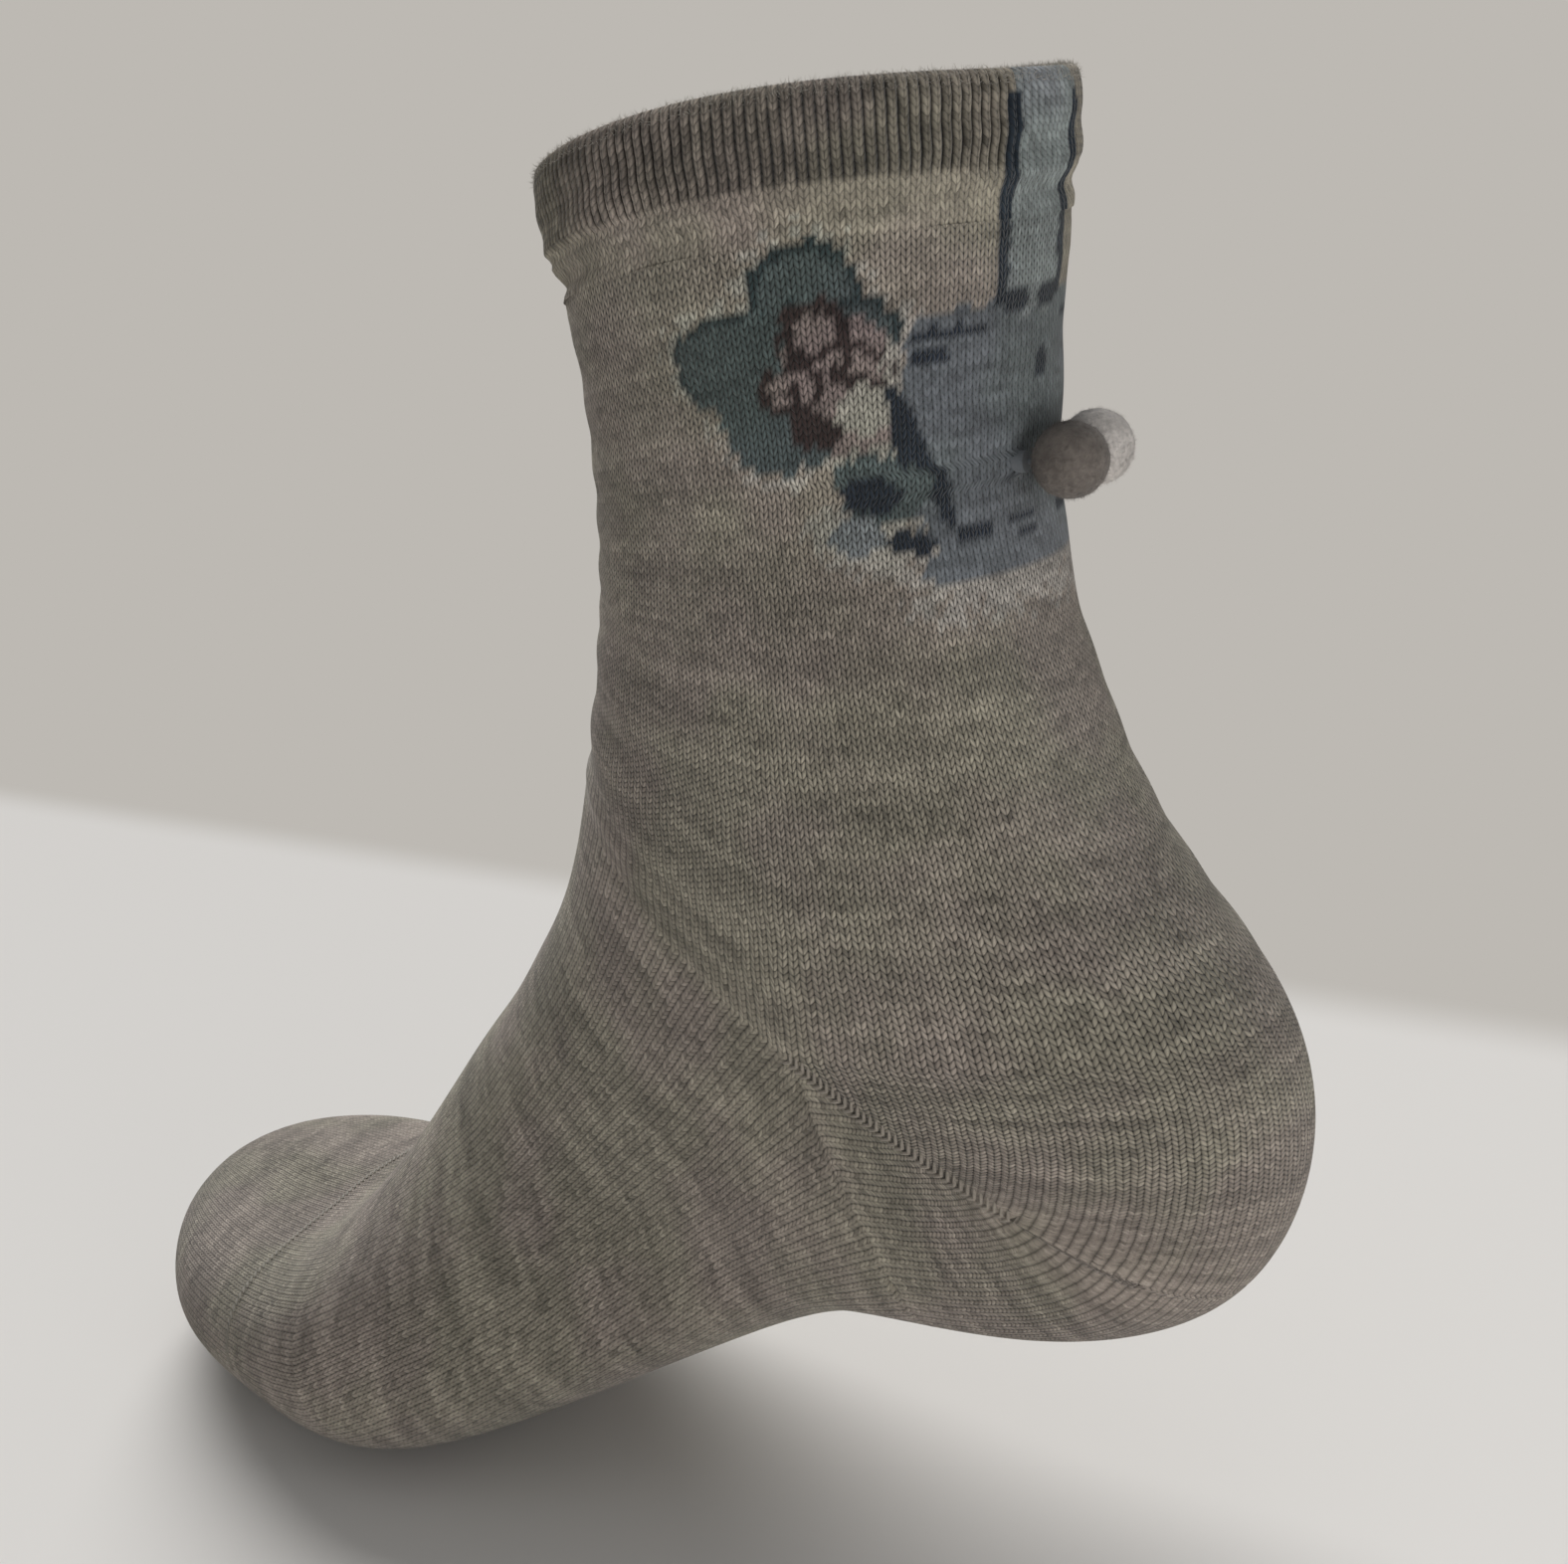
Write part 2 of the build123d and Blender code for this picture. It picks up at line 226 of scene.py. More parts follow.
class Graph:
    """Builds one material's shader graph."""

    def __init__(self, name: str) -> None:
        """Makes a material with its surface shader."""
        self.material = bpy.data.materials.new(name)
        self.material.use_nodes = True
        self.tree = self.material.node_tree
        self.surface = self.tree.nodes["Principled BSDF"]

    def feed(self, target: bpy.types.NodeSocket, item: object) -> None:
        """Gives a socket a link or a constant.

        Args:
            target: Input socket.
            item: A Value, an output socket or a constant.
        """
        if isinstance(item, Value):
            self.tree.links.new(item.socket, target)
        elif isinstance(item, bpy.types.NodeSocket):
            self.tree.links.new(item, target)
        else:
            target.default_value = item

    def node(self, kind: str, settings: dict[str, object] | None = None,
             inputs: dict[str | int, object] | None = None) -> bpy.types.Node:
        """Adds a node.

        Args:
            kind: Blender's name of the node type.
            settings: Properties, set before the inputs.
            inputs: Values or links by input name or number.

        Returns:
            The new node.
        """
        made = self.tree.nodes.new(kind)
        for name, item in (settings or {}).items():
            setattr(made, name, item)
        for name, item in (inputs or {}).items():
            self.feed(made.inputs[name], item)
        return made

    def place(self) -> bpy.types.NodeSocket:
        """Object coordinates."""
        return self.node("ShaderNodeTexCoord").outputs["Object"]

    def vector(self, x: Value | float, y: Value | float, z: Value | float) -> bpy.types.NodeSocket:
        """Three numbers as a vector."""
        return self.node("ShaderNodeCombineXYZ", None, {"X": x, "Y": y, "Z": z}).outputs[0]

    def noise(self, at: bpy.types.NodeSocket, scale: float, detail: float = 2.0,
              roughness: float = 0.5) -> Value:
        """Smooth random number from 0 to 1 at a place."""
        return Value(self, self.node("ShaderNodeTexNoise", None, {
            "Vector": at, "Scale": scale, "Detail": detail, "Roughness": roughness,
        }).outputs["Fac"])

    def mix(self, share: Value | float, first: object, second: object,
            blend: str = "MIX") -> bpy.types.NodeSocket:
        """Mixes two colours."""
        made = self.node("ShaderNodeMix", {"data_type": "RGBA", "blend_type": blend})
        for slot, item in zip((0, 6, 7), (share, first, second)):
            self.feed(made.inputs[slot], item)
        return made.outputs[2]

    def finish(self, colour: object, roughness: object, height: Value | None,
               depth: float, metallic: float = 0.0) -> bpy.types.Material:
        """Connects the surface.

        Args:
            colour: Base colour.
            roughness: Roughness.
            height: Relief from 0 to 1, or None.
            depth: The relief's depth in metres.
            metallic: Metallic share.

        Returns:
            The finished material.
        """
        self.feed(self.surface.inputs["Base Color"], colour)
        self.feed(self.surface.inputs["Roughness"], roughness)
        self.surface.inputs["Metallic"].default_value = metallic
        self.surface.inputs["Sheen Weight"].default_value = 0.0 if metallic else 0.16
        self.surface.inputs["Sheen Roughness"].default_value = 0.5
        self.surface.inputs["Specular IOR Level"].default_value = 0.5 if metallic else 0.12
        if height is not None and depth > 0:
            bump = self.node("ShaderNodeBump", None,
                             {"Strength": 1.0, "Distance": depth, "Height": height})
            self.feed(self.surface.inputs["Normal"], bump.outputs[0])
        return self.material


def knit_material(name: str, look: KnitFinish) -> bpy.types.Material:
    """Plain knitting that follows a piece's stitch map.

    Args:
        name: Name of the material.
        look: Its finish.

    Returns:
        The material, which reads the maps "stitch" and "yarn".
    """
    g = Graph(name)
    place = g.place()
    stitch = g.node("ShaderNodeUVMap", {"uv_map": "stitch"}).outputs[0]
    parts = g.node("ShaderNodeSeparateXYZ", None, {0: stitch})
    wobble = g.noise(place, 260.0, 2.0) - 0.5
    drift = g.noise(place, 520.0, 1.0) - 0.5
    wale = Value(g, parts.outputs[0]) + wobble * 0.30
    course = Value(g, parts.outputs[1]) + drift * 0.35
    side = (wale.fraction() - 0.5).size() * 2.0
    along = course + side * look.slant
    across = along.fraction() * 2.0 - 1.0
    loop = (1.0 - across * across).at_least(0.0) ** 0.6
    width = 1.0 - ((side * 2.0 - 1.0).size() ** 2.5) * 0.85
    twist = g.vector(wale * 3.0 + along * 2.0, along * 9.0, 0.0)
    strands = g.noise(twist, 1.0, 2.0)
    yarn = g.node("ShaderNodeAttribute", {"attribute_name": "yarn"})
    detail = Value(g, yarn.outputs["Alpha"])
    height = (loop * width * 0.85 + strands * 0.15) * detail

    by_row = g.vector(wale * 0.22, along.floor() * 7.3, wale.floor() * 0.05)
    melange = g.noise(by_row, 1.0, 3.0, 0.65)
    fine = g.noise(g.vector(wale * 1.3, along.floor() * 5.1 + 9.0, wale.floor() * 2.7), 1.0, 2.0)
    fibres = g.noise(place, 5200.0, 2.0, 0.7)
    tone = (melange - 0.5) * 1.5 + (fine - 0.5) * 1.7 + (fibres - 0.5) * 0.9
    wide = g.noise(place, 38.0, 2.0, 0.55).ramp(0.40, 0.62)
    streak = g.noise(g.vector(wale * 0.035, along * 0.16, 4.0), 1.0, 2.0).ramp(0.36, 0.66)

    base = yarn.outputs["Color"]
    hue = g.mix(wide, linear(188, 192, 168), linear(201, 186, 190))
    tinted = g.mix(look.blotch * 0.55, base, g.mix(1.0, base, g.mix(
        1.0, hue, (1.75, 1.75, 1.75, 1.0), "MULTIPLY"), "MULTIPLY"))
    light = (tone * look.melange + 1.0) * (streak * 0.30 + 0.85)
    # Painted shade: the gaps between wales and between loops are darkened, by stitch where stitches
    # show as hooks and along the wale boundaries where only wales show, with a little painted
    # highlight on the loops' crowns.
    edge = (side * 2.0 - 1.0).size() ** 2.0
    painted_pit_shade = (edge * (1.0 - loop * 0.50) + (1.0 - loop) * 0.30).ramp(0.10, 0.90)
    uneven = g.noise(g.vector(wale.floor() * 3.1, along.floor() * 2.3, 7.0), 1.0, 1.0)
    painted_stitch_shade = 1.30 - painted_pit_shade * (uneven * 0.9 + 0.75) * look.gap
    painted_wale_shade = 1.08 - side ** 3.0 * 0.72 + (loop - 0.6) * 0.12
    shade = light * ((painted_stitch_shade - painted_wale_shade) * detail + painted_wale_shade)
    grey = g.node("ShaderNodeCombineColor", None, {0: shade, 1: shade, 2: shade}).outputs[0]
    colour = g.mix(1.0, tinted, grey, "MULTIPLY")
    return g.finish(colour, look.roughness, height, look.relief)


def yarn_material(name: str, look: YarnFinish) -> bpy.types.Material:
    """A plain yarn, thread, felt or metal.

    Args:
        name: Name of the material.
        look: Its finish.

    Returns:
        The material.
    """
    g = Graph(name)
    place = g.place()
    fibres = g.noise(place, 1.0 / look.grain, 4.0, 0.7)
    patches = g.noise(place, 0.22 / look.grain, 2.0)
    shade = ((fibres - 0.5) * 1.6 + (patches - 0.5)) * look.mottle + 1.0
    grey = g.node("ShaderNodeCombineColor", None, {0: shade, 1: shade, 2: shade}).outputs[0]
    return g.finish(g.mix(1.0, look.colour, grey, "MULTIPLY"), look.roughness, fibres,
                    look.relief, look.metallic)


# ======================================================================== meshes
def add_object(name: str, mesh: bpy.types.Mesh) -> bpy.types.Object:
    """Links a mesh to the scene under its own name."""
    made = bpy.data.objects.new(name, mesh)
    bpy.context.scene.collection.objects.link(made)
    return made


def mesh_from(name: str, points: Array, faces: Sequence[Sequence[int]] | Array,
              material: bpy.types.Material | None = None, smooth: bool = True) -> bpy.types.Mesh:
    """Makes a mesh.

    Args:
        name: Name of the mesh.
        points: Places, one row each.
        faces: Corner numbers of each face.
        material: Finish, or None.
        smooth: True for smooth shading.

    Returns:
        The mesh.
    """
    mesh = bpy.data.meshes.new(name)
    mesh.from_pydata(np.asarray(points, float).tolist(), [], [list(map(int, f)) for f in faces])
    if smooth:
        mesh.polygons.foreach_set("use_smooth", [True] * len(mesh.polygons))
    if material is not None:
        mesh.materials.append(material)
    mesh.update()
    mesh.set_sharp_from_angle(angle=SHARP_ANGLE)
    return mesh


def signed_volume(points: Array, faces: Array) -> float:
    """Volume inside four-cornered faces, negative if they face inwards."""
    a, b, c, d = (points[faces[:, k]] for k in range(4))
    first = np.einsum("ij,ij->i", a, np.cross(b, c)).sum()
    return float(first + np.einsum("ij,ij->i", a, np.cross(c, d)).sum()) / 6


def smooth_step(x: Array | float) -> Array | float:
    """Runs smoothly from 0 to 1 as x does."""
    t = np.clip(x, 0.0, 1.0)
    return t * t * (3 - 2 * t)


class Skin:
    """The outer face of the CAD sock, found with rays from outside."""

    START = 0.095

    def __init__(self, nodes: Iterable[str]) -> None:
        """Gathers the nodes' faces into one search tree."""
        points: list[Vector] = []
        faces: list[list[int]] = []
        for name in nodes:
            first = len(points)
            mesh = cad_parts[name].data
            points += [v.co.copy() for v in mesh.vertices]
            faces += [[first + k for k in p.vertices] for p in mesh.polygons]
        self.tree = BVHTree.FromPolygons(points, faces)

    def hit(self, centre: Vector, direction: Vector) -> Vector | None:
        """Point where a ray from outside towards the centre meets the skin.

        Args:
            centre: Point inside the sock.
            direction: Unit direction away from the centre.

        Returns:
            The point, or None if the ray meets nothing.
        """
        return self.tree.ray_cast(centre + direction * self.START, -direction, self.START)[0]


@dataclass(frozen=True)
class Course:
    """One course of stitches, seen from the side of the sock.

    Attributes:
        centre: Y and Z of the course's centre.
        front: Direction of its front or top half in the side view, in degrees.
        back: Direction of its back or sole half, in degrees.
        number: Course number, which grows from the rim to the toe.
        shift: X of the centre.
        drop: Follows the rim's arch if 1, and is level if 0.
    """
    centre: tuple[float, float]
    front: float
    back: float
    number: float
    shift: float = 0.0
    drop: float = 0.0


@dataclass(frozen=True)
class RimArch:
    """Arch of the rim in the side view, which droops towards the instep."""
    radius: float = 0.180
    crown_y: float = 0.016

    def fall(self, y: float) -> float:
        """How far the rim is below its crown at y."""
        return self.radius - math.sqrt(self.radius ** 2 - (y - self.crown_y) ** 2)


@dataclass(frozen=True)
class Gauge:
    """Count of the knitting.

    Attributes:
        quarter: Wales in a quarter of the way round.
        columns: Grid columns to each wale.
        pitch: Height of a course.
    """
    quarter: int = 39
    columns: int = 2
    pitch: float = 0.00105


GAUGE = Gauge()
ARCH = RimArch()
RAYS = 60
USUAL_RADIUS = 0.036
LOWER_HEEL_COURSE = 480.0
FINE_KNIT = 0.45
FOOT_COURSE = 200.0


def arm(degrees: float) -> Vector:
    """Unit direction in the side view; 0 is the heel side and 90 is up."""
    turn = math.radians(degrees)
    return Vector((0.0, math.cos(turn), math.sin(turn)))


def quarter_points(skin: Skin, course: Course, quarter: int, count: int) -> Array:
    """Places at even steps along a quarter of a course.

    Args:
        skin: Outer face of the sock.
        course: The course.
        quarter: 0 from the front to the outer side, then on round the sock.
        count: Number of steps.

    Returns:
        One place more than the steps, in order.
    """
    found = []
    for step in range(RAYS + 1):
        turn = (quarter + step / RAYS) * math.pi / 2
        half = arm(course.front if quarter in (0, 3) else course.back)
        away = (half * abs(math.cos(turn)) + Vector((math.sin(turn), 0, 0))).normalized()
        centre = Vector((course.shift, course.centre[0], course.centre[1]))
        place = skin.hit(centre, away)
        if course.drop:
            y = centre.y + away.y * USUAL_RADIUS
            for _ in range(3):
                low = centre - Vector((0, 0, course.drop * ARCH.fall(y)))
                place = skin.hit(low, away)
                y = place.y if place is not None else y
        if place is not None:
            found.append(place)
    if not found:
        raise ValueError(f"no skin round course {course}")
    path = np.array([tuple(p) for p in found])
    run = np.concatenate([[0.0], np.cumsum(np.linalg.norm(np.diff(path, axis=0), axis=1))])
    even = np.linspace(0.0, run[-1], count + 1)
    return np.stack([np.interp(even, run, path[:, k]) for k in range(3)], axis=1)


@dataclass
class Cloth:
    """A grid of courses and wales on the sock.

    Attributes:
        places: Points by course and column.
        wales: Wale coordinate of each point.
        courses: Course coordinate of each point.
        closed: True if the last column is the first one's place.
    """
    places: Array
    wales: Array
    courses: Array
    closed: bool

    def extent(self) -> tuple[float, float]:
        """Longest course, and length across the courses along the middle column."""
        rows = np.linalg.norm(np.diff(self.places, axis=1), axis=2).sum(axis=1)
        middle = self.places[:, self.places.shape[1] // 2]
        return float(rows.max()), float(np.linalg.norm(np.diff(middle, axis=0), axis=1).sum())

    def spacing(self) -> Array:
        """Distance between courses at each point, as a share of the gauge's pitch."""
        gap = np.linalg.norm(np.gradient(self.places, axis=0), axis=2)
        return gap / (np.abs(np.gradient(self.courses, axis=0)) * GAUGE.pitch)

    def normals(self) -> Array:
        """Unit direction out of the cloth at each point."""
        across = np.gradient(self.places, axis=1)
        if self.closed:
            across[:, 0] = across[:, -1] = self.places[:, 1] - self.places[:, -2]
        down = np.gradient(self.places, axis=0)
        out = np.cross(across, down)
        out /= np.maximum(np.linalg.norm(out, axis=2, keepdims=True), 1e-12)
        centre = self.places.mean(axis=(0, 1))
        if np.einsum("ijk,ijk->ij", out, self.places - centre).sum() < 0:
            out = -out
        return out


def lay_courses(skin: Skin, courses: Sequence[Course], quarters: Sequence[int],
                measured_from: int | None = None) -> Cloth:
    """Lays courses on the sock.

    Args:
        skin: Outer face of the sock.
        courses: The courses, in order.
        quarters: Which quarters they cover, in order.
        measured_from: Quarter boundary that the wales are counted from where courses get
            shorter, so that wales end at the sides. None gives every course all its wales.

    Returns:
        The cloth.
    """
    count = GAUGE.quarter * GAUGE.columns
    places, wales, numbers = [], [], []
    full = [0.0] * len(quarters)
    for course in courses:
        row, wale = [], []
        for k, quarter in enumerate(quarters):
            part = quarter_points(skin, course, quarter, count)
            length = float(np.linalg.norm(np.diff(part, axis=0), axis=1).sum())
            full[k] = full[k] or length
            share = np.linspace(0.0, 1.0, count + 1)
            if measured_from is not None:
                short = length / full[k]
                share = (1 - (1 - share) * short) if quarter < measured_from else share * short
            row.append(part if k == 0 else part[1:])
            wale.append((quarter + (share if k == 0 else share[1:])) * GAUGE.quarter)
        places.append(np.concatenate(row))
        wales.append(np.concatenate(wale))
        numbers.append(np.full(len(wales[-1]), course.number))
    return Cloth(np.array(places), np.array(wales), np.array(numbers), len(quarters) == 4)


Chart = Callable[[Array, Array], Array]


def knitted_shell(name: str, outer: Cloth, thickness: float | Array, material: bpy.types.Material,
                  chart: Chart, close_tip: bool = False,
                  shade: Array | None = None,
                  plain_knit: Array | float = 1.0) -> bpy.types.Object:
    """Makes a closed shell from a cloth's outer face and a lining inside it.

    Args:
        name: Name of the piece.
        outer: Outer face.
        thickness: Distance from the outer face to the lining.
        material: Finish.
        chart: Gives each stitch its colour from wale and course numbers.
        close_tip: True to draw the last course together.
        shade: Factor on the colour of each point of the grid, or None.
        plain_knit: 1 where stitches show as hooks, 0 where only wales show.

    Returns:
        The piece.
    """
    rows, columns = outer.wales.shape
    out = outer.normals()
    depth = np.asarray(thickness)[..., None] if np.ndim(thickness) else thickness
    inner = outer.places - out * depth
    if close_tip:
        for layer in (outer.places, inner):
            layer[-1] = layer[-1].mean(axis=0)
    # one loop over the outer face, then back along the lining
    layers = np.concatenate([outer.places, inner[::-1]], axis=0)
    wales = np.concatenate([outer.wales, outer.wales[::-1]], axis=0)
    courses = np.concatenate([outer.courses, outer.courses[::-1]], axis=0)
    used = columns - 1 if outer.closed else columns
    total = len(layers)
    points = layers[:, :used].reshape(-1, 3)
    row, column = np.meshgrid(np.arange(total), np.arange(columns - 1), indexing="ij")
    row, column = row.ravel(), column.ravel()
    below, right = (row + 1) % total, column + 1
    wrap = right % used if outer.closed else right
    faces = np.stack([row * used + column, row * used + wrap, below * used + wrap,
                      below * used + column], axis=1)
    corners = [(row, column), (row, right), (below, right), (below, column)]
    if not outer.closed:
        flat = []
        for edge in (0, columns - 1):
            for k in range(rows - 1):
                quad = [k * used + edge, (k + 1) * used + edge,
                        (total - 2 - k) * used + edge, (total - 1 - k) * used + edge]
                flat.append(quad if edge == 0 else quad[::-1])
        sides = np.array(flat)
        faces = np.concatenate([faces, sides])
    if signed_volume(points, faces) < 0:
        faces = faces[:, ::-1]
        corners = corners[::-1]
    mesh = mesh_from(name, points, faces, material)
    stitch = np.zeros((len(faces), 4, 2))
    grid = len(row)
    for k, (r, c) in enumerate(corners):
        stitch[:grid, k] = np.stack([wales[r, c], courses[r, c]], axis=1)
    stitch[grid:] = 0.5
    uv = mesh.uv_layers.new(name="stitch")
    uv.data.foreach_set("uv", stitch.ravel())
    colours = chart(wales.ravel(), courses.ravel()).reshape(*wales.shape, 4)
    detail = smooth_step((outer.spacing() - 0.30) / 0.50) * plain_knit
    colours[:, :, 3] = np.concatenate([detail, detail[::-1]], axis=0)
    smooth_yarn = np.abs(colours[:, :, :3] - np.array(Yarn.BLUE.value)[:3]).max(axis=2) < 1e-6
    colours[:, :, 3] *= 1 - 0.55 * smooth_yarn
    if shade is not None:
        colours[:rows, :, :3] *= shade[:, :, None]
    painted = np.ones((len(faces), 4, 4)) * Yarn.GREY.value
    for k, (r, c) in enumerate(corners):
        painted[:grid, k] = colours[r, c]
    yarn = mesh.color_attributes.new("yarn", "FLOAT_COLOR", "CORNER")
    yarn.data.foreach_set("color", painted.ravel())
    made = add_object(name, mesh)
    return made


# ======================================================================== chart of the figure
@dataclass(frozen=True)
class Patch:
    """An oval or box of one yarn on the chart.

    Attributes:
        yarn: Its yarn.
        wale: Middle, in wales from the front.
        depth: Middle, in millimetres below the rim.
        wide: Half of its width in wales.
        high: Half of its height in millimetres.
        power: 2 for an oval, more for a box with rounded corners.
        tilt: Wales it moves over from its top to its bottom.
        ring: Share of it that is left open in the middle.
        ragged: Strength of its uneven edge.
    """
    yarn: Yarn
    wale: float
    depth: float
    wide: float
    high: float
    power: float = 2.0
    tilt: float = 0.0
    ring: float = 0.0
    ragged: float = 0.28

    def covers(self, wale: Array, depth: Array, rough: Array) -> Array:
        """Which stitches the patch covers."""
        down = (depth - self.depth) / self.high
        over = (wale - self.wale - self.tilt * down / 2) / self.wide
        reach = np.abs(over) ** self.power + np.abs(down) ** self.power
        reach = reach + (rough - 0.5) * self.ragged
        return (reach <= 1.0) & ((reach >= self.ring) | (self.ring == 0))


FIGURE_AXIS = 76.0
SPECKLE_SEED = 11


def figure_patches() -> list[Patch]:
    """The chart: a plain rounded body at the back and a blossom beside it."""
    y = Yarn
    body = [
        Patch(y.PALE, 76.0, 50.5, 18.6, 20.0, 7, ragged=1.7),
        Patch(y.BLUE, 76.0, 47.0, 17.2, 18.2, 9),
        Patch(y.PALE_BLUE, FIGURE_AXIS, 15.0, 5.4, 16.0, 8),
        Patch(y.NAVY, 70.6, 16.0, 0.9, 13.4, 8),
        Patch(y.NAVY, 81.4, 16.0, 0.9, 13.4, 8),
        Patch(y.NAVY, 72.8, 28.6, 2.2, 1.5, 3),
        Patch(y.NAVY, 79.2, 28.6, 2.2, 1.5, 3),
        Patch(y.NAVY, 64.2, 31.8, 4.6, 0.9, 4),
        Patch(y.NAVY, 61.8, 34.6, 2.3, 0.8, 4),
        Patch(y.NAVY, 87.8, 31.8, 4.6, 0.9, 4),
        Patch(y.NAVY, 90.2, 34.6, 2.3, 0.8, 4),
        Patch(y.NAVY, 60.6, 47.5, 1.15, 10.0, 4, tilt=6.5),
        Patch(y.NAVY, 91.4, 47.5, 1.15, 10.0, 4, tilt=-6.5),
        Patch(y.NAVY, 66.6, 58.6, 2.6, 0.9, 4),
        Patch(y.NAVY, 74.2, 58.0, 2.6, 0.7, 4),
        Patch(y.NAVY, 75.0, 60.4, 1.8, 0.7, 4),
        Patch(y.NAVY, 85.4, 58.6, 2.6, 0.9, 4),
        Patch(y.NAVY, 78.6, 38.0, 1.2, 2.2, 3),
    ]
    blossom = [
        Patch(y.PALE, 49.5, 24.3, 5.9, 6.9, 2, ragged=1.4),
        Patch(y.PALE, 47.2, 32.0, 12.6, 6.9, 3.5, ragged=1.2),
        Patch(y.PALE, 46.0, 38.6, 7.9, 10.0, 3, tilt=3.0, ragged=1.2),
        Patch(y.DARK_TEAL, 49.5, 24.5, 5.4, 6.2, 2),
        Patch(y.TEAL, 49.5, 24.9, 4.4, 5.2, 2),
        Patch(y.PALE, 52.5, 38.0, 8.0, 10.6, 3, tilt=1.5, ragged=1.0),
        Patch(y.DARK_TEAL, 47.2, 32.0, 11.8, 6.2, 3.5),
        Patch(y.TEAL, 47.0, 32.8, 11.0, 6.0, 3.5),
        Patch(y.TEAL, 46.0, 38.4, 7.2, 9.2, 3, tilt=3.0),
        Patch(y.ROSE, 52.6, 37.0, 6.0, 9.2, 2.4, tilt=1.0),
        Patch(y.BROWN, 50.2, 29.8, 3.8, 3.9, 2, ragged=0.7),
        Patch(y.ROSE, 50.4, 30.0, 2.2, 2.3, 2, ragged=0.7),
        Patch(y.BROWN, 47.2, 37.0, 3.4, 3.4, 2.4, ragged=0.8),
        Patch(y.ROSE, 47.4, 36.9, 2.3, 2.2, 2.6, ragged=0.8),
        Patch(y.BROWN, 47.6, 37.2, 0.8, 1.7, 2, ragged=0.6),
        Patch(y.BROWN, 55.0, 35.2, 3.6, 3.0, 2, ring=0.28, ragged=0.9),
        Patch(y.BROWN, 49.8, 42.6, 3.0, 2.6, 2, ragged=0.9),
        Patch(y.PALE, 54.6, 40.4, 3.2, 3.4, 2, ragged=1.0),
        Patch(y.PALE, 53.6, 46.6, 5.2, 1.1, 2, ragged=1.2),
    ]
    stem = [
        Patch(y.PALE, 53.8, 57.4, 6.6, 4.8, 2.4, tilt=4.0, ragged=1.2),
        Patch(y.TEAL, 55.8, 51.0, 5.0, 4.6, 2.6, tilt=2.0),
        Patch(y.NAVY, 54.4, 51.8, 3.4, 2.3, 2.4, tilt=2.0),
        Patch(y.PALE_BLUE, 52.6, 56.8, 3.2, 2.6, 2),
        Patch(y.NAVY, 58.6, 58.6, 2.6, 1.7, 2.4, tilt=2.0),
        Patch(y.NAVY, 58.2, 44.6, 0.9, 4.2, 3, tilt=1.0),
    ]
    return blossom + body + stem


def figure_chart(wale: Array, course: Array) -> Array:
    """Colour of each stitch of the leg and cuff.

    Args:
        wale: Wale numbers from the front.
        course: Course numbers from the rim.

    Returns:
        Linear colours, one row each.
    """
    depth = course * GAUGE.pitch / MM
    rough = stitch_noise(wale, course)
    colours = np.tile(np.array(Yarn.GREY.value), (len(wale), 1))
    for patch in figure_patches():
        colours[patch.covers(wale, depth, rough)] = patch.yarn.value
    return colours


def stitch_noise(wale: Array, course: Array) -> Array:
    """A fixed random number from 0 to 1 for each stitch."""
    table = np.random.default_rng(SPECKLE_SEED).random((512, 512))
    return table[wale.astype(int) % 512, course.astype(int) % 512]


def grey_chart(wale: Array, course: Array) -> Array:
    """All stitches in the grey yarn."""
    return np.tile(np.array(Yarn.GREY.value), (len(wale), 1))


# ======================================================================== repeated shapes
class Repeater:
    """Geometry Nodes that repeat one small shape on points or over a surface."""

    def __init__(self, name: str) -> None:
        """Makes an empty tree with its geometry input and output."""
        self.tree = bpy.data.node_groups.new(name, "GeometryNodeTree")
        for way in ("INPUT", "OUTPUT"):
            self.tree.interface.new_socket("Geometry", in_out=way,
                                           socket_type="NodeSocketGeometry")
        self.entry = self.tree.nodes.new("NodeGroupInput")
        self.exit = self.tree.nodes.new("NodeGroupOutput")
        self.values: dict[str, object] = {}

    def given(self, name: str, kind: str, item: object) -> bpy.types.NodeSocket:
        """Adds a named input and remembers its value."""
        made = self.tree.interface.new_socket(name, in_out="INPUT", socket_type=kind)
        self.values[made.identifier] = item
        return self.entry.outputs[name]

    def node(self, kind: str, settings: dict[str, object] | None = None,
             inputs: dict[str | int, object] | None = None) -> bpy.types.Node:
        """Adds a node with its settings, links and constants."""
        made = self.tree.nodes.new(kind)
        for name, item in (settings or {}).items():
            setattr(made, name, item)
        for name, item in (inputs or {}).items():
            if isinstance(item, bpy.types.NodeSocket):
                self.tree.links.new(item, made.inputs[name])
            else:
                made.inputs[name].default_value = item
        return made

    def end(self, instances: bpy.types.NodeSocket, material: bpy.types.NodeSocket) -> None:
        """Realizes the instances and gives them their finish."""
        real = self.node("GeometryNodeRealizeInstances", None, {0: instances})
        done = self.node("GeometryNodeSetMaterial", None,
                         {"Geometry": real.outputs[0], "Material": material})
        self.tree.links.new(done.outputs[0], self.exit.inputs[0])

    def run(self, carrier: bpy.types.Object, name: str) -> bpy.types.Object:
        """Evaluates the nodes on a carrier and keeps a plain mesh.

        Args:
            carrier: Object that the nodes start from; it is removed.
            name: Name of the new object.

        Returns:
            A plain mesh object.
        """
        modifier = carrier.modifiers.new("repeat", "NODES")
        modifier.node_group = self.tree
        for identifier, item in self.values.items():
            modifier[identifier] = item
        graph = bpy.context.evaluated_depsgraph_get()
        mesh = bpy.data.meshes.new_from_object(carrier.evaluated_get(graph))
        bpy.data.objects.remove(carrier)
        mesh.name = name
        mesh.polygons.foreach_set("use_smooth", [True] * len(mesh.polygons))
        made = add_object(name, mesh)
        return made


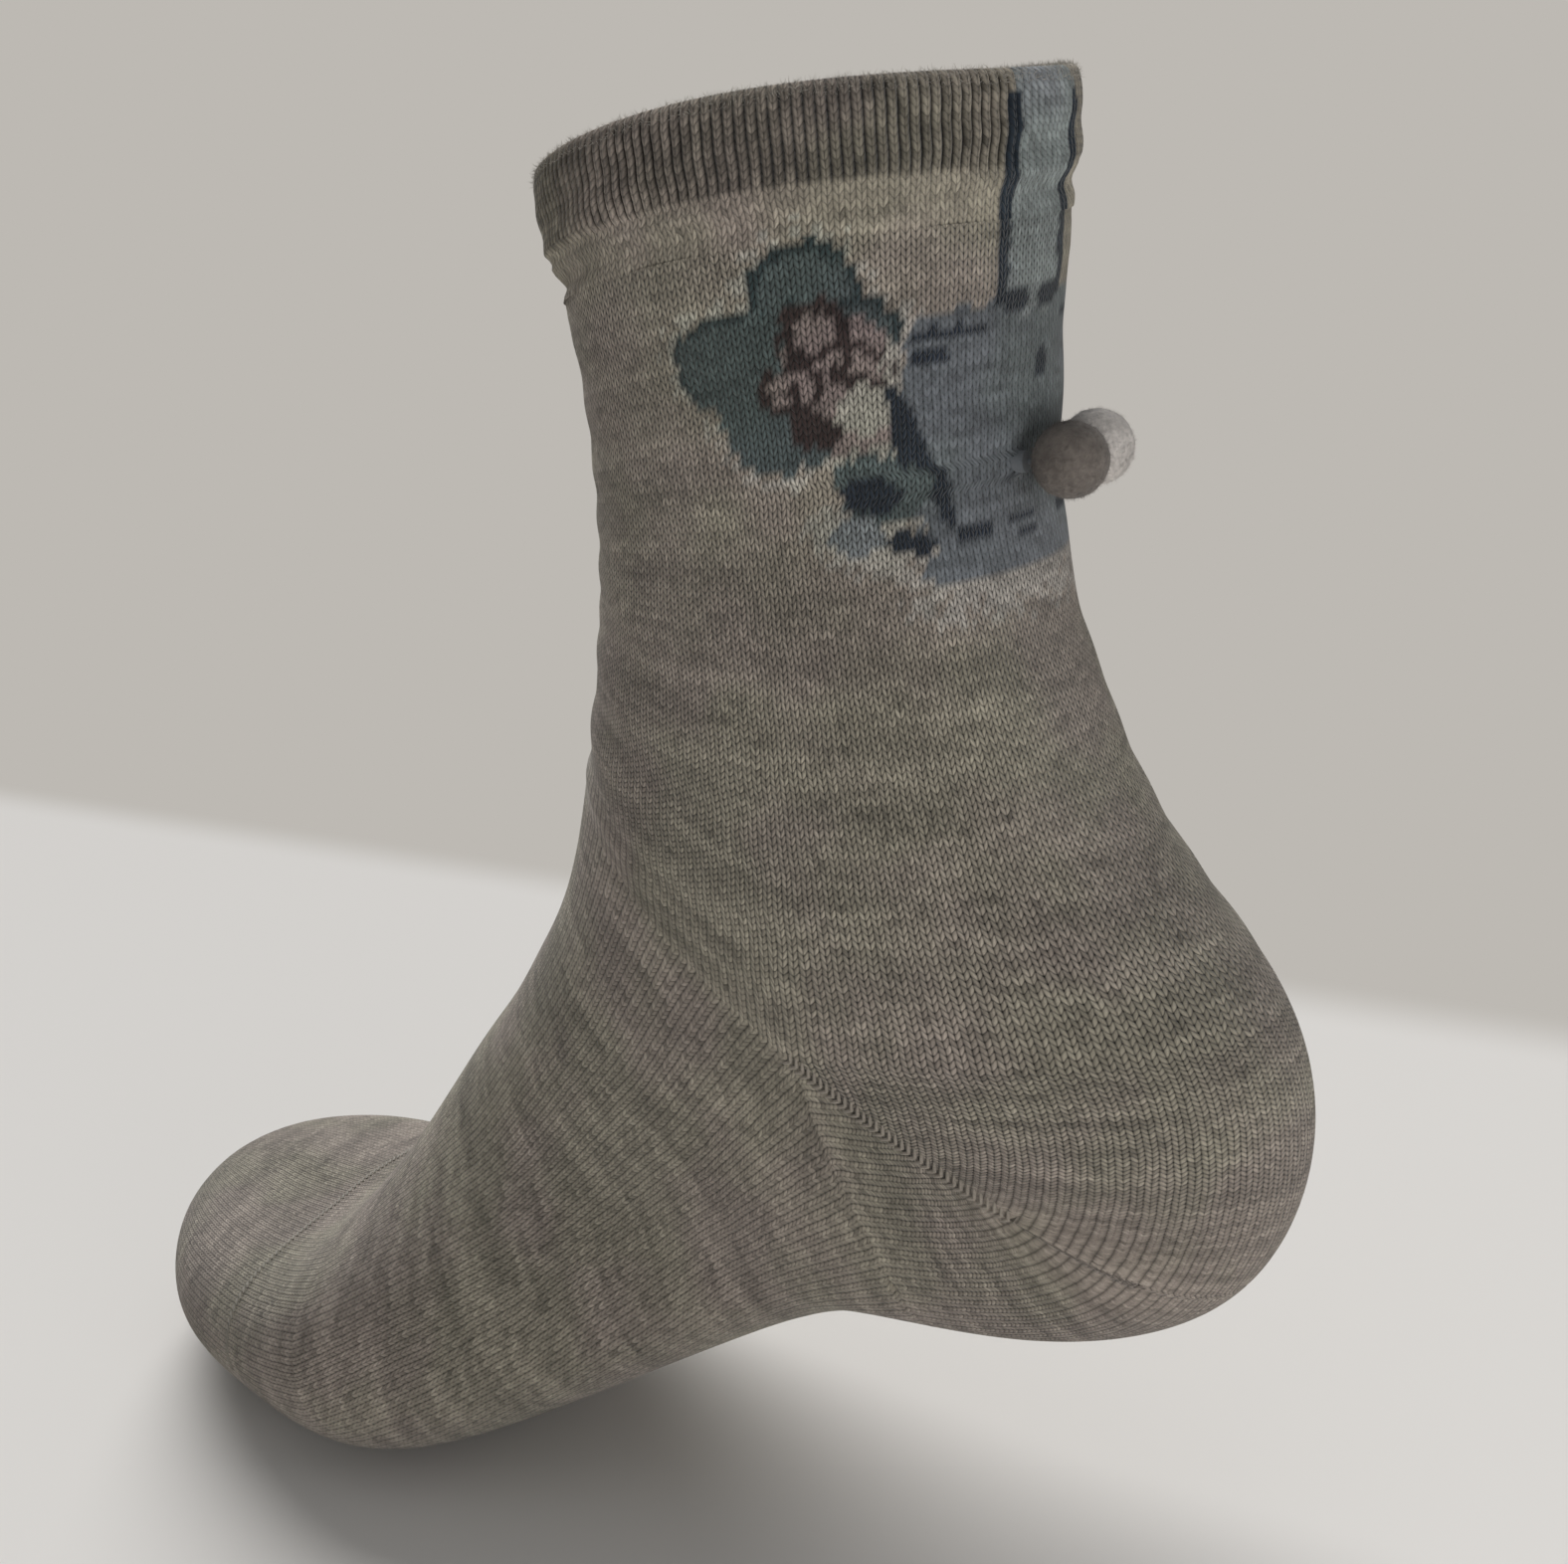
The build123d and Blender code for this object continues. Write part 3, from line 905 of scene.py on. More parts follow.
def repeat_along(name: str, places: Array, along: Array, out: Array, shape: bpy.types.Object,
                 material: bpy.types.Material, scale: float = 1.0) -> bpy.types.Object:
    """Repeats a shape at given places.

    Args:
        name: Name of the piece.
        places: Places, one row each.
        along: Direction of the shape's X axis at each place.
        out: Direction of its Z axis at each place.
        shape: The shape; it is kept for other calls.
        material: Finish.
        scale: Size factor.

    Returns:
        The piece.
    """
    carrier_mesh = bpy.data.meshes.new(name + "_places")
    carrier_mesh.from_pydata(places.tolist(), [], [])
    for key, rows in (("along", along), ("out", out)):
        attribute = carrier_mesh.attributes.new(key, "FLOAT_VECTOR", "POINT")
        attribute.data.foreach_set("vector", rows.astype(float).ravel())
    r = Repeater(name + "_nodes")
    kept = r.given("Shape", "NodeSocketObject", shape)
    finish = r.given("Material", "NodeSocketMaterial", material)
    size = r.given("Scale", "NodeSocketFloat", scale)
    source = r.node("GeometryNodeObjectInfo", None, {"Object": kept})
    named = [r.node("GeometryNodeInputNamedAttribute", {"data_type": "FLOAT_VECTOR"},
                    {"Name": key}).outputs["Attribute"] for key in ("out", "along")]
    face_out = r.node("FunctionNodeAlignRotationToVector", {"axis": "Z"}, {"Vector": named[0]})
    turned = r.node("FunctionNodeAlignRotationToVector", {"axis": "X", "pivot_axis": "Z"},
                    {"Rotation": face_out.outputs[0], "Vector": named[1]})
    dots = r.node("GeometryNodeMeshToPoints", None, {"Mesh": r.entry.outputs[0]})
    copies = r.node("GeometryNodeInstanceOnPoints", None, {
        "Points": dots.outputs[0], "Instance": source.outputs["Geometry"],
        "Rotation": turned.outputs[0], "Scale": size})
    r.end(copies.outputs[0], finish)
    return r.run(add_object(name + "_carrier", carrier_mesh), name)


@dataclass(frozen=True)
class FuzzFinish:
    """Loose fibres on a surface.

    Attributes:
        density: Fibres to a square metre.
        scale: Length factor.
        seed: Random seed.
    """
    density: float
    scale: float = 1.0
    seed: int = 3


def fuzz(name: str, surface: bpy.types.Object, fibre: bpy.types.Object,
         material: bpy.types.Material, look: FuzzFinish) -> bpy.types.Object:
    """Scatters loose fibres over a surface.

    Args:
        name: Name of the piece.
        surface: Object to cover; it stays as it is.
        fibre: One fibre, standing on its Z axis.
        material: Finish.
        look: Count and size.

    Returns:
        The fibres as one piece.
    """
    r = Repeater(name + "_nodes")
    kept = r.given("Fibre", "NodeSocketObject", fibre)
    finish = r.given("Material", "NodeSocketMaterial", material)
    density = r.given("Density", "NodeSocketFloat", look.density)
    size = r.given("Scale", "NodeSocketFloat", look.scale)
    seed = r.given("Seed", "NodeSocketInt", look.seed)
    source = r.node("GeometryNodeObjectInfo", None, {"Object": kept})
    spread = r.node("GeometryNodeDistributePointsOnFaces", None, {
        "Mesh": r.entry.outputs[0], "Density": density, "Seed": seed})
    lean = r.node("FunctionNodeRandomValue", {"data_type": "FLOAT_VECTOR"}, {
        0: (-1.1, -1.1, -3.14), 1: (1.1, 1.1, 3.14), "Seed": seed})
    turned = r.node("FunctionNodeRotateRotation", {"rotation_space": "LOCAL"}, {
        "Rotation": spread.outputs["Rotation"], "Rotate By": lean.outputs[0]})
    long = r.node("FunctionNodeRandomValue", {"data_type": "FLOAT"}, {2: 0.5, 3: 1.2, "Seed": seed})
    sized = r.node("ShaderNodeMath", {"operation": "MULTIPLY"}, {0: long.outputs[1], 1: size})
    copies = r.node("GeometryNodeInstanceOnPoints", None, {
        "Points": spread.outputs[0], "Instance": source.outputs["Geometry"],
        "Rotation": turned.outputs[0], "Scale": sized.outputs[0]})
    r.end(copies.outputs[0], finish)
    return r.run(add_object(name + "_carrier", surface.data.copy()), name)


def make_fibre(name: str, length: float, radius: float) -> bpy.types.Object:
    """One bent, pointed fibre standing on its Z axis."""
    share = np.linspace(0, 1, 4)
    path = np.stack([0.32 * length * share ** 2, 0.0 * share, length * share], axis=1)
    return add_object(name, swept_tube(name, path, radius * (1.1 - share), 3, None))


def swept_tube(name: str, path: Array, radius: float | Array, sides: int,
               material: bpy.types.Material | None, twist: float = 0.0,
               lobes: int = 0, depth: float = 0.0) -> bpy.types.Mesh:
    """Tube with closed ends along a path.

    Args:
        name: Name of the mesh.
        path: Places along its middle.
        radius: Radius, or one for each place.
        sides: Points round it.
        material: Finish, or None.
        twist: Turns of the lobes from end to end.
        lobes: Number of strands seen round it.
        depth: Depth between strands as a share of the radius.

    Returns:
        The mesh.
    """
    path = np.asarray(path, float)
    run = np.gradient(path, axis=0)
    run /= np.linalg.norm(run, axis=1, keepdims=True)
    start = np.array([0.0, 0.0, 1.0]) if abs(run[0][2]) < 0.9 else np.array([1.0, 0.0, 0.0])
    size = np.broadcast_to(np.asarray(radius, float), (len(path),))
    rings = []
    side = start
    for k, ahead in enumerate(run):
        side = side - ahead * side.dot(ahead)
        side = side / np.linalg.norm(side)
        other = np.cross(ahead, side)
        turn = np.linspace(0, 2 * np.pi, sides, endpoint=False)
        swell = 1 - depth * (0.5 + 0.5 * np.cos(lobes * turn + 2 * np.pi * twist * k / len(path)))
        rings.append(path[k] + size[k] * swell[:, None] * (
            np.cos(turn)[:, None] * side + np.sin(turn)[:, None] * other))
    points = np.concatenate(rings)
    faces = [[k * sides + j, k * sides + (j + 1) % sides, (k + 1) * sides + (j + 1) % sides,
              (k + 1) * sides + j] for k in range(len(path) - 1) for j in range(sides)]
    last = (len(path) - 1) * sides
    ends = [list(range(sides))[::-1], [last + j for j in range(sides)]]
    return mesh_from(name, points, faces + ends, material)


# ======================================================================== sub-assemblies
@dataclass(frozen=True)
class Finishes:
    """Materials shared by the pieces."""
    knit: bpy.types.Material
    rib: bpy.types.Material
    gore: bpy.types.Material
    seam: bpy.types.Material
    floats: bpy.types.Material
    elastic: bpy.types.Material
    fuzz: bpy.types.Material
    felt: bpy.types.Material
    painted_lit_felt: bpy.types.Material
    cord: bpy.types.Material
    filling: bpy.types.Material
    magnet: bpy.types.Material


def make_finishes() -> Finishes:
    """Builds every material of the object."""
    return Finishes(
        knit_material("grey_knit", KNIT), knit_material("rib_knit", RIB_KNIT),
        yarn_material("gore_yarn", GORE_YARN), yarn_material("seam_yarn", SEAM_YARN),
        yarn_material("float_yarn", FLOAT_YARN), yarn_material("elastic", ELASTIC),
        yarn_material("fuzz_fibre", FUZZ_FIBRE),
        yarn_material("paw_felt", PAW_FELT), yarn_material("painted_lit_paw_felt", PAINTED_LIT_PAW_FELT),
        yarn_material("cord_yarn", CORD_YARN),
        yarn_material("filling", FILLING), yarn_material("magnet", MAGNET),
    )


def settle(piece: bpy.types.Object, body: str, slot: str, *nodes: str) -> bpy.types.Object:
    """Fixes a finished piece to its CAD body.

    Args:
        piece: The piece.
        body: CAD body that it moves with.
        slot: Material slot of the record; not used.
        nodes: CAD nodes that it stands for.

    Returns:
        The piece.
    """
    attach(piece, body)
    if nodes:
        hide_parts(*nodes)
    LOG.info("%s: %d faces on %s", piece.name, len(piece.data.polygons), body)
    return piece


@dataclass(frozen=True)
class Cuff:
    """The turned cuff with its ribs.

    Attributes:
        depth: From the rim to the hem.
        wall: Thickness over both plies.
        rib: Depth of the ribs.
        ribbed: Depth of the strongly ribbed band.
        bulge: How far the band stands out.
        columns: Grid columns to each wale.
        rows: Grid rows on the outside.
        roll: Rows round the rim.
    """
    depth: float = 0.0183
    wall: float = 0.0026
    rib: float = 0.00055
    ribbed: float = 0.0112
    bulge: float = 0.0011
    columns: int = 4
    rows: int = 26
    roll: int = 8

    def build(self, skin: Skin, looks: Finishes) -> bpy.types.Object:
        """Makes the cuff.

        Args:
            skin: Outer face of the sock.
            looks: Materials.

        Returns:
            The cuff, one closed sheet of two plies.
        """
        depths = np.linspace(0.0011, self.depth, self.rows)
        rings = []
        for depth in depths:
            course = Course((-0.001 * depth / 0.13, -depth), 180.0, 0.0, depth / GAUGE.pitch,
                            drop=1.0)
            rings.append([quarter_points(skin, course, q, GAUGE.quarter * self.columns)
                          for q in range(4)])
        places = np.array([np.concatenate([part[:-1] for part in ring]) for ring in rings])
        closed = np.concatenate([places, places[:, :1]], axis=1)
        count = closed.shape[1]
        wales = np.linspace(0, 4 * GAUGE.quarter, count)
        cloth = Cloth(closed, np.tile(wales, (self.rows, 1)),
                      np.tile(depths[:, None] / GAUGE.pitch, (1, count)), True)
        out = cloth.normals()
        out[:, :, 2] = 0
        out /= np.linalg.norm(out, axis=2, keepdims=True)
        turn = wales / (4 * GAUGE.quarter) * 2 * np.pi
        front = np.cos(turn) * 0.5 + 0.5
        band = 1 - smooth_step((depths - self.ribbed) / 0.0016)
        fold = (0.45 + 0.55 * front) * np.exp(
            -((depths[:, None] - (0.0152 + 0.0012 * front)) / 0.0011) ** 2)
        ridge = np.exp(-((depths[:, None] - (0.0128 + 0.0008 * front)) / 0.0009) ** 2)
        wave = (0.00022 * np.sin(turn * 5 + depths[:, None] * 900)
                + 0.00016 * np.sin(turn * 11 + 1.3))
        rib = np.abs(np.sin(np.pi * wales)) ** 0.7 - 0.5
        strength = (0.25 + 0.75 * band)[:, None]
        lift = (self.rib * rib * strength + self.bulge * band[:, None] * (0.45 + 0.55 * front)
                - 0.0007 * fold + 0.0005 * ridge
                + wave * smooth_step((depths[:, None] - 0.002) / 0.006))
        face = closed + out * lift[:, :, None]
        face += self._drawn_in(out, depths)
        # round the rim and down the inside
        radius = self.wall / 2
        roll = []
        for k in range(1, self.roll + 1):
            angle = np.pi * k / (self.roll + 1)
            roll.append(face[0] - out[0] * radius * (1 - math.cos(angle))
                        + np.array([0, 0, 1.0]) * radius * math.sin(angle) * 0.95)
        lining = face - out * self.wall
        lining[-1] = closed[-1] - out[-1] * 0.0024
        layers = np.concatenate([face[::-1], np.array(roll), lining], axis=0)
        numbers = np.concatenate([depths[::-1] / GAUGE.pitch,
                                  np.linspace(0.8, -1.2, self.roll), -1.2 - depths / GAUGE.pitch])
        total = len(layers)
        used = count - 1
        points = layers[:, :used].reshape(-1, 3)
        row, column = (a.ravel() for a in np.meshgrid(np.arange(total), np.arange(used),
                                                      indexing="ij"))
        below, right = (row + 1) % total, column + 1
        faces = np.stack([row * used + column, row * used + right % used,
                          below * used + right % used, below * used + column], axis=1)
        corners = [(row, column), (row, right), (below, right), (below, column)]
        if signed_volume(points, faces) < 0:
            faces, corners = faces[:, ::-1], corners[::-1]
        mesh = mesh_from("cuff", points, faces, looks.rib)
        stitch = np.stack([np.stack([wales[c], numbers[r]], axis=1) for r, c in corners], axis=1)
        mesh.uv_layers.new(name="stitch").data.foreach_set("uv", stitch.ravel())
        wale, number = (stitch[:, :, k].ravel() for k in (0, 1))
        colours = figure_chart(wale, number)
        rimmed = smooth_step((1.1 - np.abs(number)) / 0.7)[:, None]
        plain = np.abs(colours - np.array(Yarn.GREY.value)).max(axis=1) < 1e-6
        above = 1 - smooth_step((number * GAUGE.pitch - self.ribbed) / 0.001)
        ribbed = (plain & (number > 0)) * above
        # Painted shade in the grooves between the ribs of the plain ribbed band, over a random tone
        # for each wale and every three courses; the rolled rim is made lighter.
        uneven = 0.80 + 0.34 * stitch_noise(wale, np.floor(number / 3))
        groove = uneven ** ribbed - ribbed * (0.76 - 0.56 * np.abs(np.sin(np.pi * wale)) ** 0.9)
        colours[:, :3] *= groove[:, None] * (1 - rimmed) + 1.22 * rimmed
        yarn = mesh.color_attributes.new("yarn", "FLOAT_COLOR", "CORNER")
        yarn.data.foreach_set("color", colours.ravel())
        piece = settle(add_object("cuff", mesh), "sock", "grey_knit",
                       "welt", "hem_row", "ear_inlay")
        CUFF_FLAT_DEPTHS * self.depth
        self._fuzz(np.array([face[1], face[0], *roll]), out[0], looks)
        return piece

    def _fuzz(self, band: Array, out: Array, looks: Finishes) -> bpy.types.Object:
        """Loose fibres along the rim."""
        rows, columns = band.shape[:2]
        row, column = (a.ravel() for a in np.meshgrid(
            np.arange(rows - 1), np.arange(columns - 1), indexing="ij"))
        first = row * columns + column
        faces = np.stack([first, first + columns, first + columns + 1, first + 1], axis=1)
        points = band.reshape(-1, 3)
        a, b, c = (points[faces[0, k]] for k in range(3))
        if np.dot(np.cross(b - a, c - a), out[0]) < 0:
            faces = faces[:, ::-1]
        surface = add_object("rim_band", mesh_from("rim_band", points, faces))
        fibre = make_fibre("rim_fibre", 0.0008, 0.000032)
        piece = fuzz("rim_fuzz", surface, fibre, looks.fuzz, FuzzFinish(density=4.2e6, seed=9))
        for used in (surface, fibre):
            bpy.data.objects.remove(used)
        return settle(piece, "sock", "grey_knit")

    def _drawn_in(self, out: Array, depths: Array) -> Array:
        """Draws the rim itself in a little."""
        amount = -0.0005 * (1 - smooth_step(depths / 0.003))
        return out * amount[:, None, None]


@dataclass(frozen=True)
class Leg:
    """The knitted leg from the hem to the ankle.

    Attributes:
        top: Depth of its first course.
        apex: Y and Z where leg, heel and foot meet.
        ankle: Direction of the ankle's fold in degrees.
        ply: Thickness.
    """
    top: float = 0.0183
    apex: tuple[float, float] = (-0.001, -0.1305)
    ankle: float = 142.0
    ply: float = 0.0012

    def courses(self) -> list[Course]:
        """Courses from the hem to the ankle, which rise over the instep."""
        whole = -self.apex[1]
        count = round((whole - self.top) / GAUGE.pitch)
        made = []
        for k in range(count + 1):
            depth = self.top + (whole - self.top) * k / count
            share = depth / whole
            lift = max(0.0, (depth - 0.040) / (whole - 0.040)) ** 1.6
            fade = 1 - float(smooth_step((depth - 0.02) / 0.08))
            made.append(Course((self.apex[0] * share, -depth), 180 - (180 - self.ankle) * lift,
                               0.0, depth / GAUGE.pitch, drop=fade))
        return made

    def build(self, skin: Skin, looks: Finishes) -> bpy.types.Object:
        """Makes the leg.

        Args:
            skin: Outer face of the sock.
            looks: Materials.

        Returns:
            The leg with its figure.
        """
        cloth = lay_courses(skin, self.courses(), (0, 1, 2, 3))
        out = cloth.normals()
        lift = self._creases(cloth)
        cloth.places = cloth.places + out * lift[:, :, None]
        turn = cloth.wales / (4 * GAUGE.quarter) * 2 * np.pi
        low = smooth_step((cloth.courses * GAUGE.pitch - 0.098) / 0.032)
        hooks = 1 - (1 - FINE_KNIT) * low * smooth_step(np.cos(turn) * 2 + 0.6)
        piece = knitted_shell("leg_knit", cloth, self.ply, looks.knit, figure_chart,
                              plain_knit=hooks)
        settle(piece, "sock", "grey_knit", "leg_tube", "figure_panel", "companion_panel")
        return piece

    def _creases(self, cloth: Cloth) -> Array:
        """Small folds where the leg is slack, none at its edges."""
        depth = cloth.courses * GAUGE.pitch
        turn = cloth.wales / (4 * GAUGE.quarter) * 2 * np.pi
        soft = 0.00028 * np.sin(depth * 300 + 1.8 * np.sin(turn * 2 + 0.6) + 0.8 * np.sin(turn * 5))
        fine = 0.00016 * np.sin(depth * 640 + 2.4 * np.sin(turn * 3 + 2.0))
        patches = 0.5 + 0.5 * np.sin(turn * 3 + depth * 55 + 0.7)
        top = np.exp(-((depth - 0.0200) / 0.0012) ** 2) * 0.0003
        edge = (smooth_step((depth - self.top) / 0.006)
                * smooth_step((-self.apex[1] - depth) / 0.012))
        return (soft * patches + fine * (1 - patches)) * edge + top * edge


@dataclass(frozen=True)
class Heel:
    """The two halves of the heel, which meet at a gore on each side.

    Attributes:
        apex: Y and Z of the gore's front end.
        gore: Direction of the gore in degrees.
        sole: Direction of the last course in degrees.
        length: Length of the gore.
        rows: Courses of each half.
        groove: How dark the painted shade in the groove beside the gore is.
        ply: Thickness.
    """
    apex: tuple[float, float] = (-0.001, -0.1305)
    gore: float = -37.8
    sole: float = -75.5
    length: float = 0.038
    rows: int = 62
    groove: float = 0.62
    ply: float = 0.0012

    def _centre(self, run: float) -> tuple[float, float]:
        """Place on the gore's line at a run from its front end."""
        turn = math.radians(self.gore)
        return (self.apex[0] + run * math.cos(turn), self.apex[1] + run * math.sin(turn))

    def _half(self, start: float) -> list[tuple[tuple[float, float], float]]:
        """Centre and direction of each course from the gore's front end to its line's end.

        Args:
            start: Direction of the first course in degrees.

        Returns:
            Courses that first move along the gore and then turn round its end.
        """
        made = []
        for k in range(self.rows + 1):
            share = k / self.rows
            moved = 1 - (1 - share) ** 1.9
            turned = share ** 2.0
            made.append((self._centre(self.length * moved), start + (self.gore - start) * turned))
        return made

    def upper_courses(self) -> list[Course]:
        """Courses of the upper half, from the leg down to the gore's line."""
        first = -self.apex[1] / GAUGE.pitch
        return [Course(centre, 0.0, back, first + k)
                for k, (centre, back) in enumerate(self._half(0.0))]

    def lower_courses(self) -> list[Course]:
        """Courses of the lower half, from the foot back to the gore's line."""
        return [Course(centre, 0.0, back, LOWER_HEEL_COURSE - k)
                for k, (centre, back) in enumerate(self._half(self.sole))]

    def build(self, skin: Skin, looks: Finishes) -> list[bpy.types.Object]:
        """Makes both halves and the stitches of the gores.

        Args:
            skin: Outer face of the sock.
            looks: Materials.

        Returns:
            The pieces.
        """
        upper = lay_courses(skin, self.upper_courses(), (1, 2), measured_from=2)
        lower = lay_courses(skin, self.lower_courses(), (1, 2), measured_from=2)
        made = []
        for name, node, cloth in (("heel_top_knit", "heel_upper", upper),
                                  ("heel_sole_knit", "heel_lower", lower)):
            run = np.arange(len(cloth.places)) / self.rows
            start = FINE_KNIT if node == "heel_lower" else 1.0
            hooks = start + (1 - start) * smooth_step(run * 2.2)
            piece = knitted_shell(name, cloth, self.ply, looks.knit, grey_chart,
                                  shade=self._gore_shade(cloth), plain_knit=hooks[:, None])
            settle(piece, "sock", "grey_knit", node)
            wide, long = cloth.extent()
            made.append(piece)
        made += [self._gore(skin, looks, side) for side in (1, -1)]
        return made

    def _gore_shade(self, cloth: Cloth) -> Array:
        """Painted shade in the groove beside the gore, which fades out at the gore's end."""
        steps = np.linalg.norm(np.diff(cloth.places, axis=1), axis=2)
        run = np.concatenate([np.zeros((len(steps), 1)), np.cumsum(steps, axis=1)], axis=1)
        near = np.minimum(run, run[:, -1:] - run)
        fade = 1 - smooth_step((np.arange(len(run)) / self.rows - 0.45) / 0.35)
        return 1 - self.groove * np.exp(-(near / 0.0011) ** 2) * fade[:, None]

    def _gore(self, skin: Skin, looks: Finishes, side: int) -> bpy.types.Object:
        """Fishbone of picked-up loops on one side of the heel."""
        count = round(self.length / (GAUGE.pitch * 1.05))
        places = []
        for k in range(count + 1):
            y, z = self._centre(self.length * (k + 0.2) / (count + 0.6))
            place = skin.hit(Vector((0, y, z)), Vector((side, 0, 0)))
            if place is not None:
                places.append(tuple(place))
        path = np.array(places)
        along = np.gradient(path, axis=0)
        out = np.tile(np.array([float(side), 0.0, 0.0]), (len(path), 1))
        shape = self._chevron()
        name = "heel_gore_stitches_" + ("outer" if side > 0 else "inner")
        piece = repeat_along(name, path - out * 0.00012, along, out, shape, looks.gore)
        bpy.data.objects.remove(shape)
        return settle(piece, "sock", "grey_knit",
                      "heel_gore_outer" if side > 0 else "heel_gore_inner")

    def _chevron(self) -> bpy.types.Object:
        """One bent loop across the gore."""
        reach, lean, rise = 0.00115, 0.00085, 0.00018
        share = np.linspace(-1, 1, 9)
        path = np.stack([lean * np.abs(share) * -1 + lean / 2, reach * share,
                         rise * (1 - share ** 2) * 1.2], axis=1)
        return add_object("chevron", swept_tube("chevron", path, 0.00030 * (1 - 0.35 * share ** 2),
                                                6, None))


@dataclass(frozen=True)
class Foot:
    """The knitted foot and toe.

    Attributes:
        ply: Thickness.
    """
    ply: float = 0.0012

    LINE = (
        (-0.0010, -0.1305, 142.0, -75.5, 0.0),
        (-0.0200, -0.1490, 139.0, -75.0, 0.0),
        (-0.0400, -0.1650, 134.0, -76.0, 0.0),
        (-0.0580, -0.1780, 127.0, -78.0, 0.5),
        (-0.0750, -0.1880, 118.0, -81.0, 1.0),
        (-0.1000, -0.2010, 104.0, -86.0, 1.0),
        (-0.1224, -0.2030, 91.8, -88.2, -2.5),
        (-0.1380, -0.2034, 90.0, -90.0, -6.5),
        (-0.1555, -0.2040, 90.0, -90.0, -12.5),
        (-0.1660, -0.2044, 90.0, -90.0, -16.3),
        (-0.1716, -0.2047, 90.0, -90.0, -17.4),
    )
    TOE_START = 6

    def _courses(self, first: int, last: int, pitch: float) -> list[Course]:
        """Courses between two places of the line."""
        line = np.array(self.LINE)
        gaps = np.linalg.norm(np.diff(line[:, :2], axis=0), axis=1)
        run = np.concatenate([[0.0], np.cumsum(gaps)])
        count = round((run[last] - run[first]) / pitch)
        made = []
        for k in range(count + 1):
            at = run[first] + (run[last] - run[first]) * k / count
            y, z, top, sole, shift = (float(np.interp(at, run, line[:, c])) for c in range(5))
            made.append(Course((y, z), top, sole, FOOT_COURSE + at / GAUGE.pitch, shift * MM))
        return made

    def build(self, skin: Skin, looks: Finishes) -> list[bpy.types.Object]:
        """Makes the foot, the toe and the seam between them.

        Args:
            skin: Outer face of the sock.
            looks: Materials.

        Returns:
            The pieces.
        """
        foot = lay_courses(skin, self._courses(0, self.TOE_START, GAUGE.pitch), (0, 1, 2, 3))
        piece = knitted_shell("foot_knit", foot, self.ply, looks.knit, grey_chart,
                              plain_knit=FINE_KNIT)
        settle(piece, "sock", "grey_knit", "foot_tube")
        toe = lay_courses(skin, self._courses(self.TOE_START, len(self.LINE) - 1, GAUGE.pitch),
                          (0, 1, 2, 3))
        cap = knitted_shell("toe_knit", toe, self.ply, looks.knit, grey_chart, close_tip=True,
                            plain_knit=FINE_KNIT)
        settle(cap, "sock", "grey_knit", "toe_top", "toe_sole", "toe_gore_outer", "toe_gore_inner")
        return [piece, cap, self._seam(toe, looks)]

    def _seam(self, toe: Cloth, looks: Finishes) -> bpy.types.Object:
        """Linking stitches over the top of the toe's first course."""
        quarter = GAUGE.quarter * GAUGE.columns
        first = toe.places[0]
        top = np.concatenate([first[-quarter:-1], first[:quarter + 1]])
        top = top[::GAUGE.columns]
        out = toe.normals()[0]
        out = np.concatenate([out[-quarter:-1], out[:quarter + 1]])[::GAUGE.columns]
        along = np.gradient(top, axis=0)
        path = np.stack([np.linspace(-0.0007, 0.0007, 7),
                         0.00045 * np.sin(np.linspace(-1.5, 1.5, 7)),
                         0.00012 * np.cos(np.linspace(-1.5, 1.5, 7))], axis=1)
        shape = add_object("link", swept_tube("link", path, 0.00020, 6, None))
        piece = repeat_along("toe_seam_links", top, along, out, shape, looks.seam)
        bpy.data.objects.remove(shape)
        return settle(piece, "sock", "seam_thread", "toe_seam")


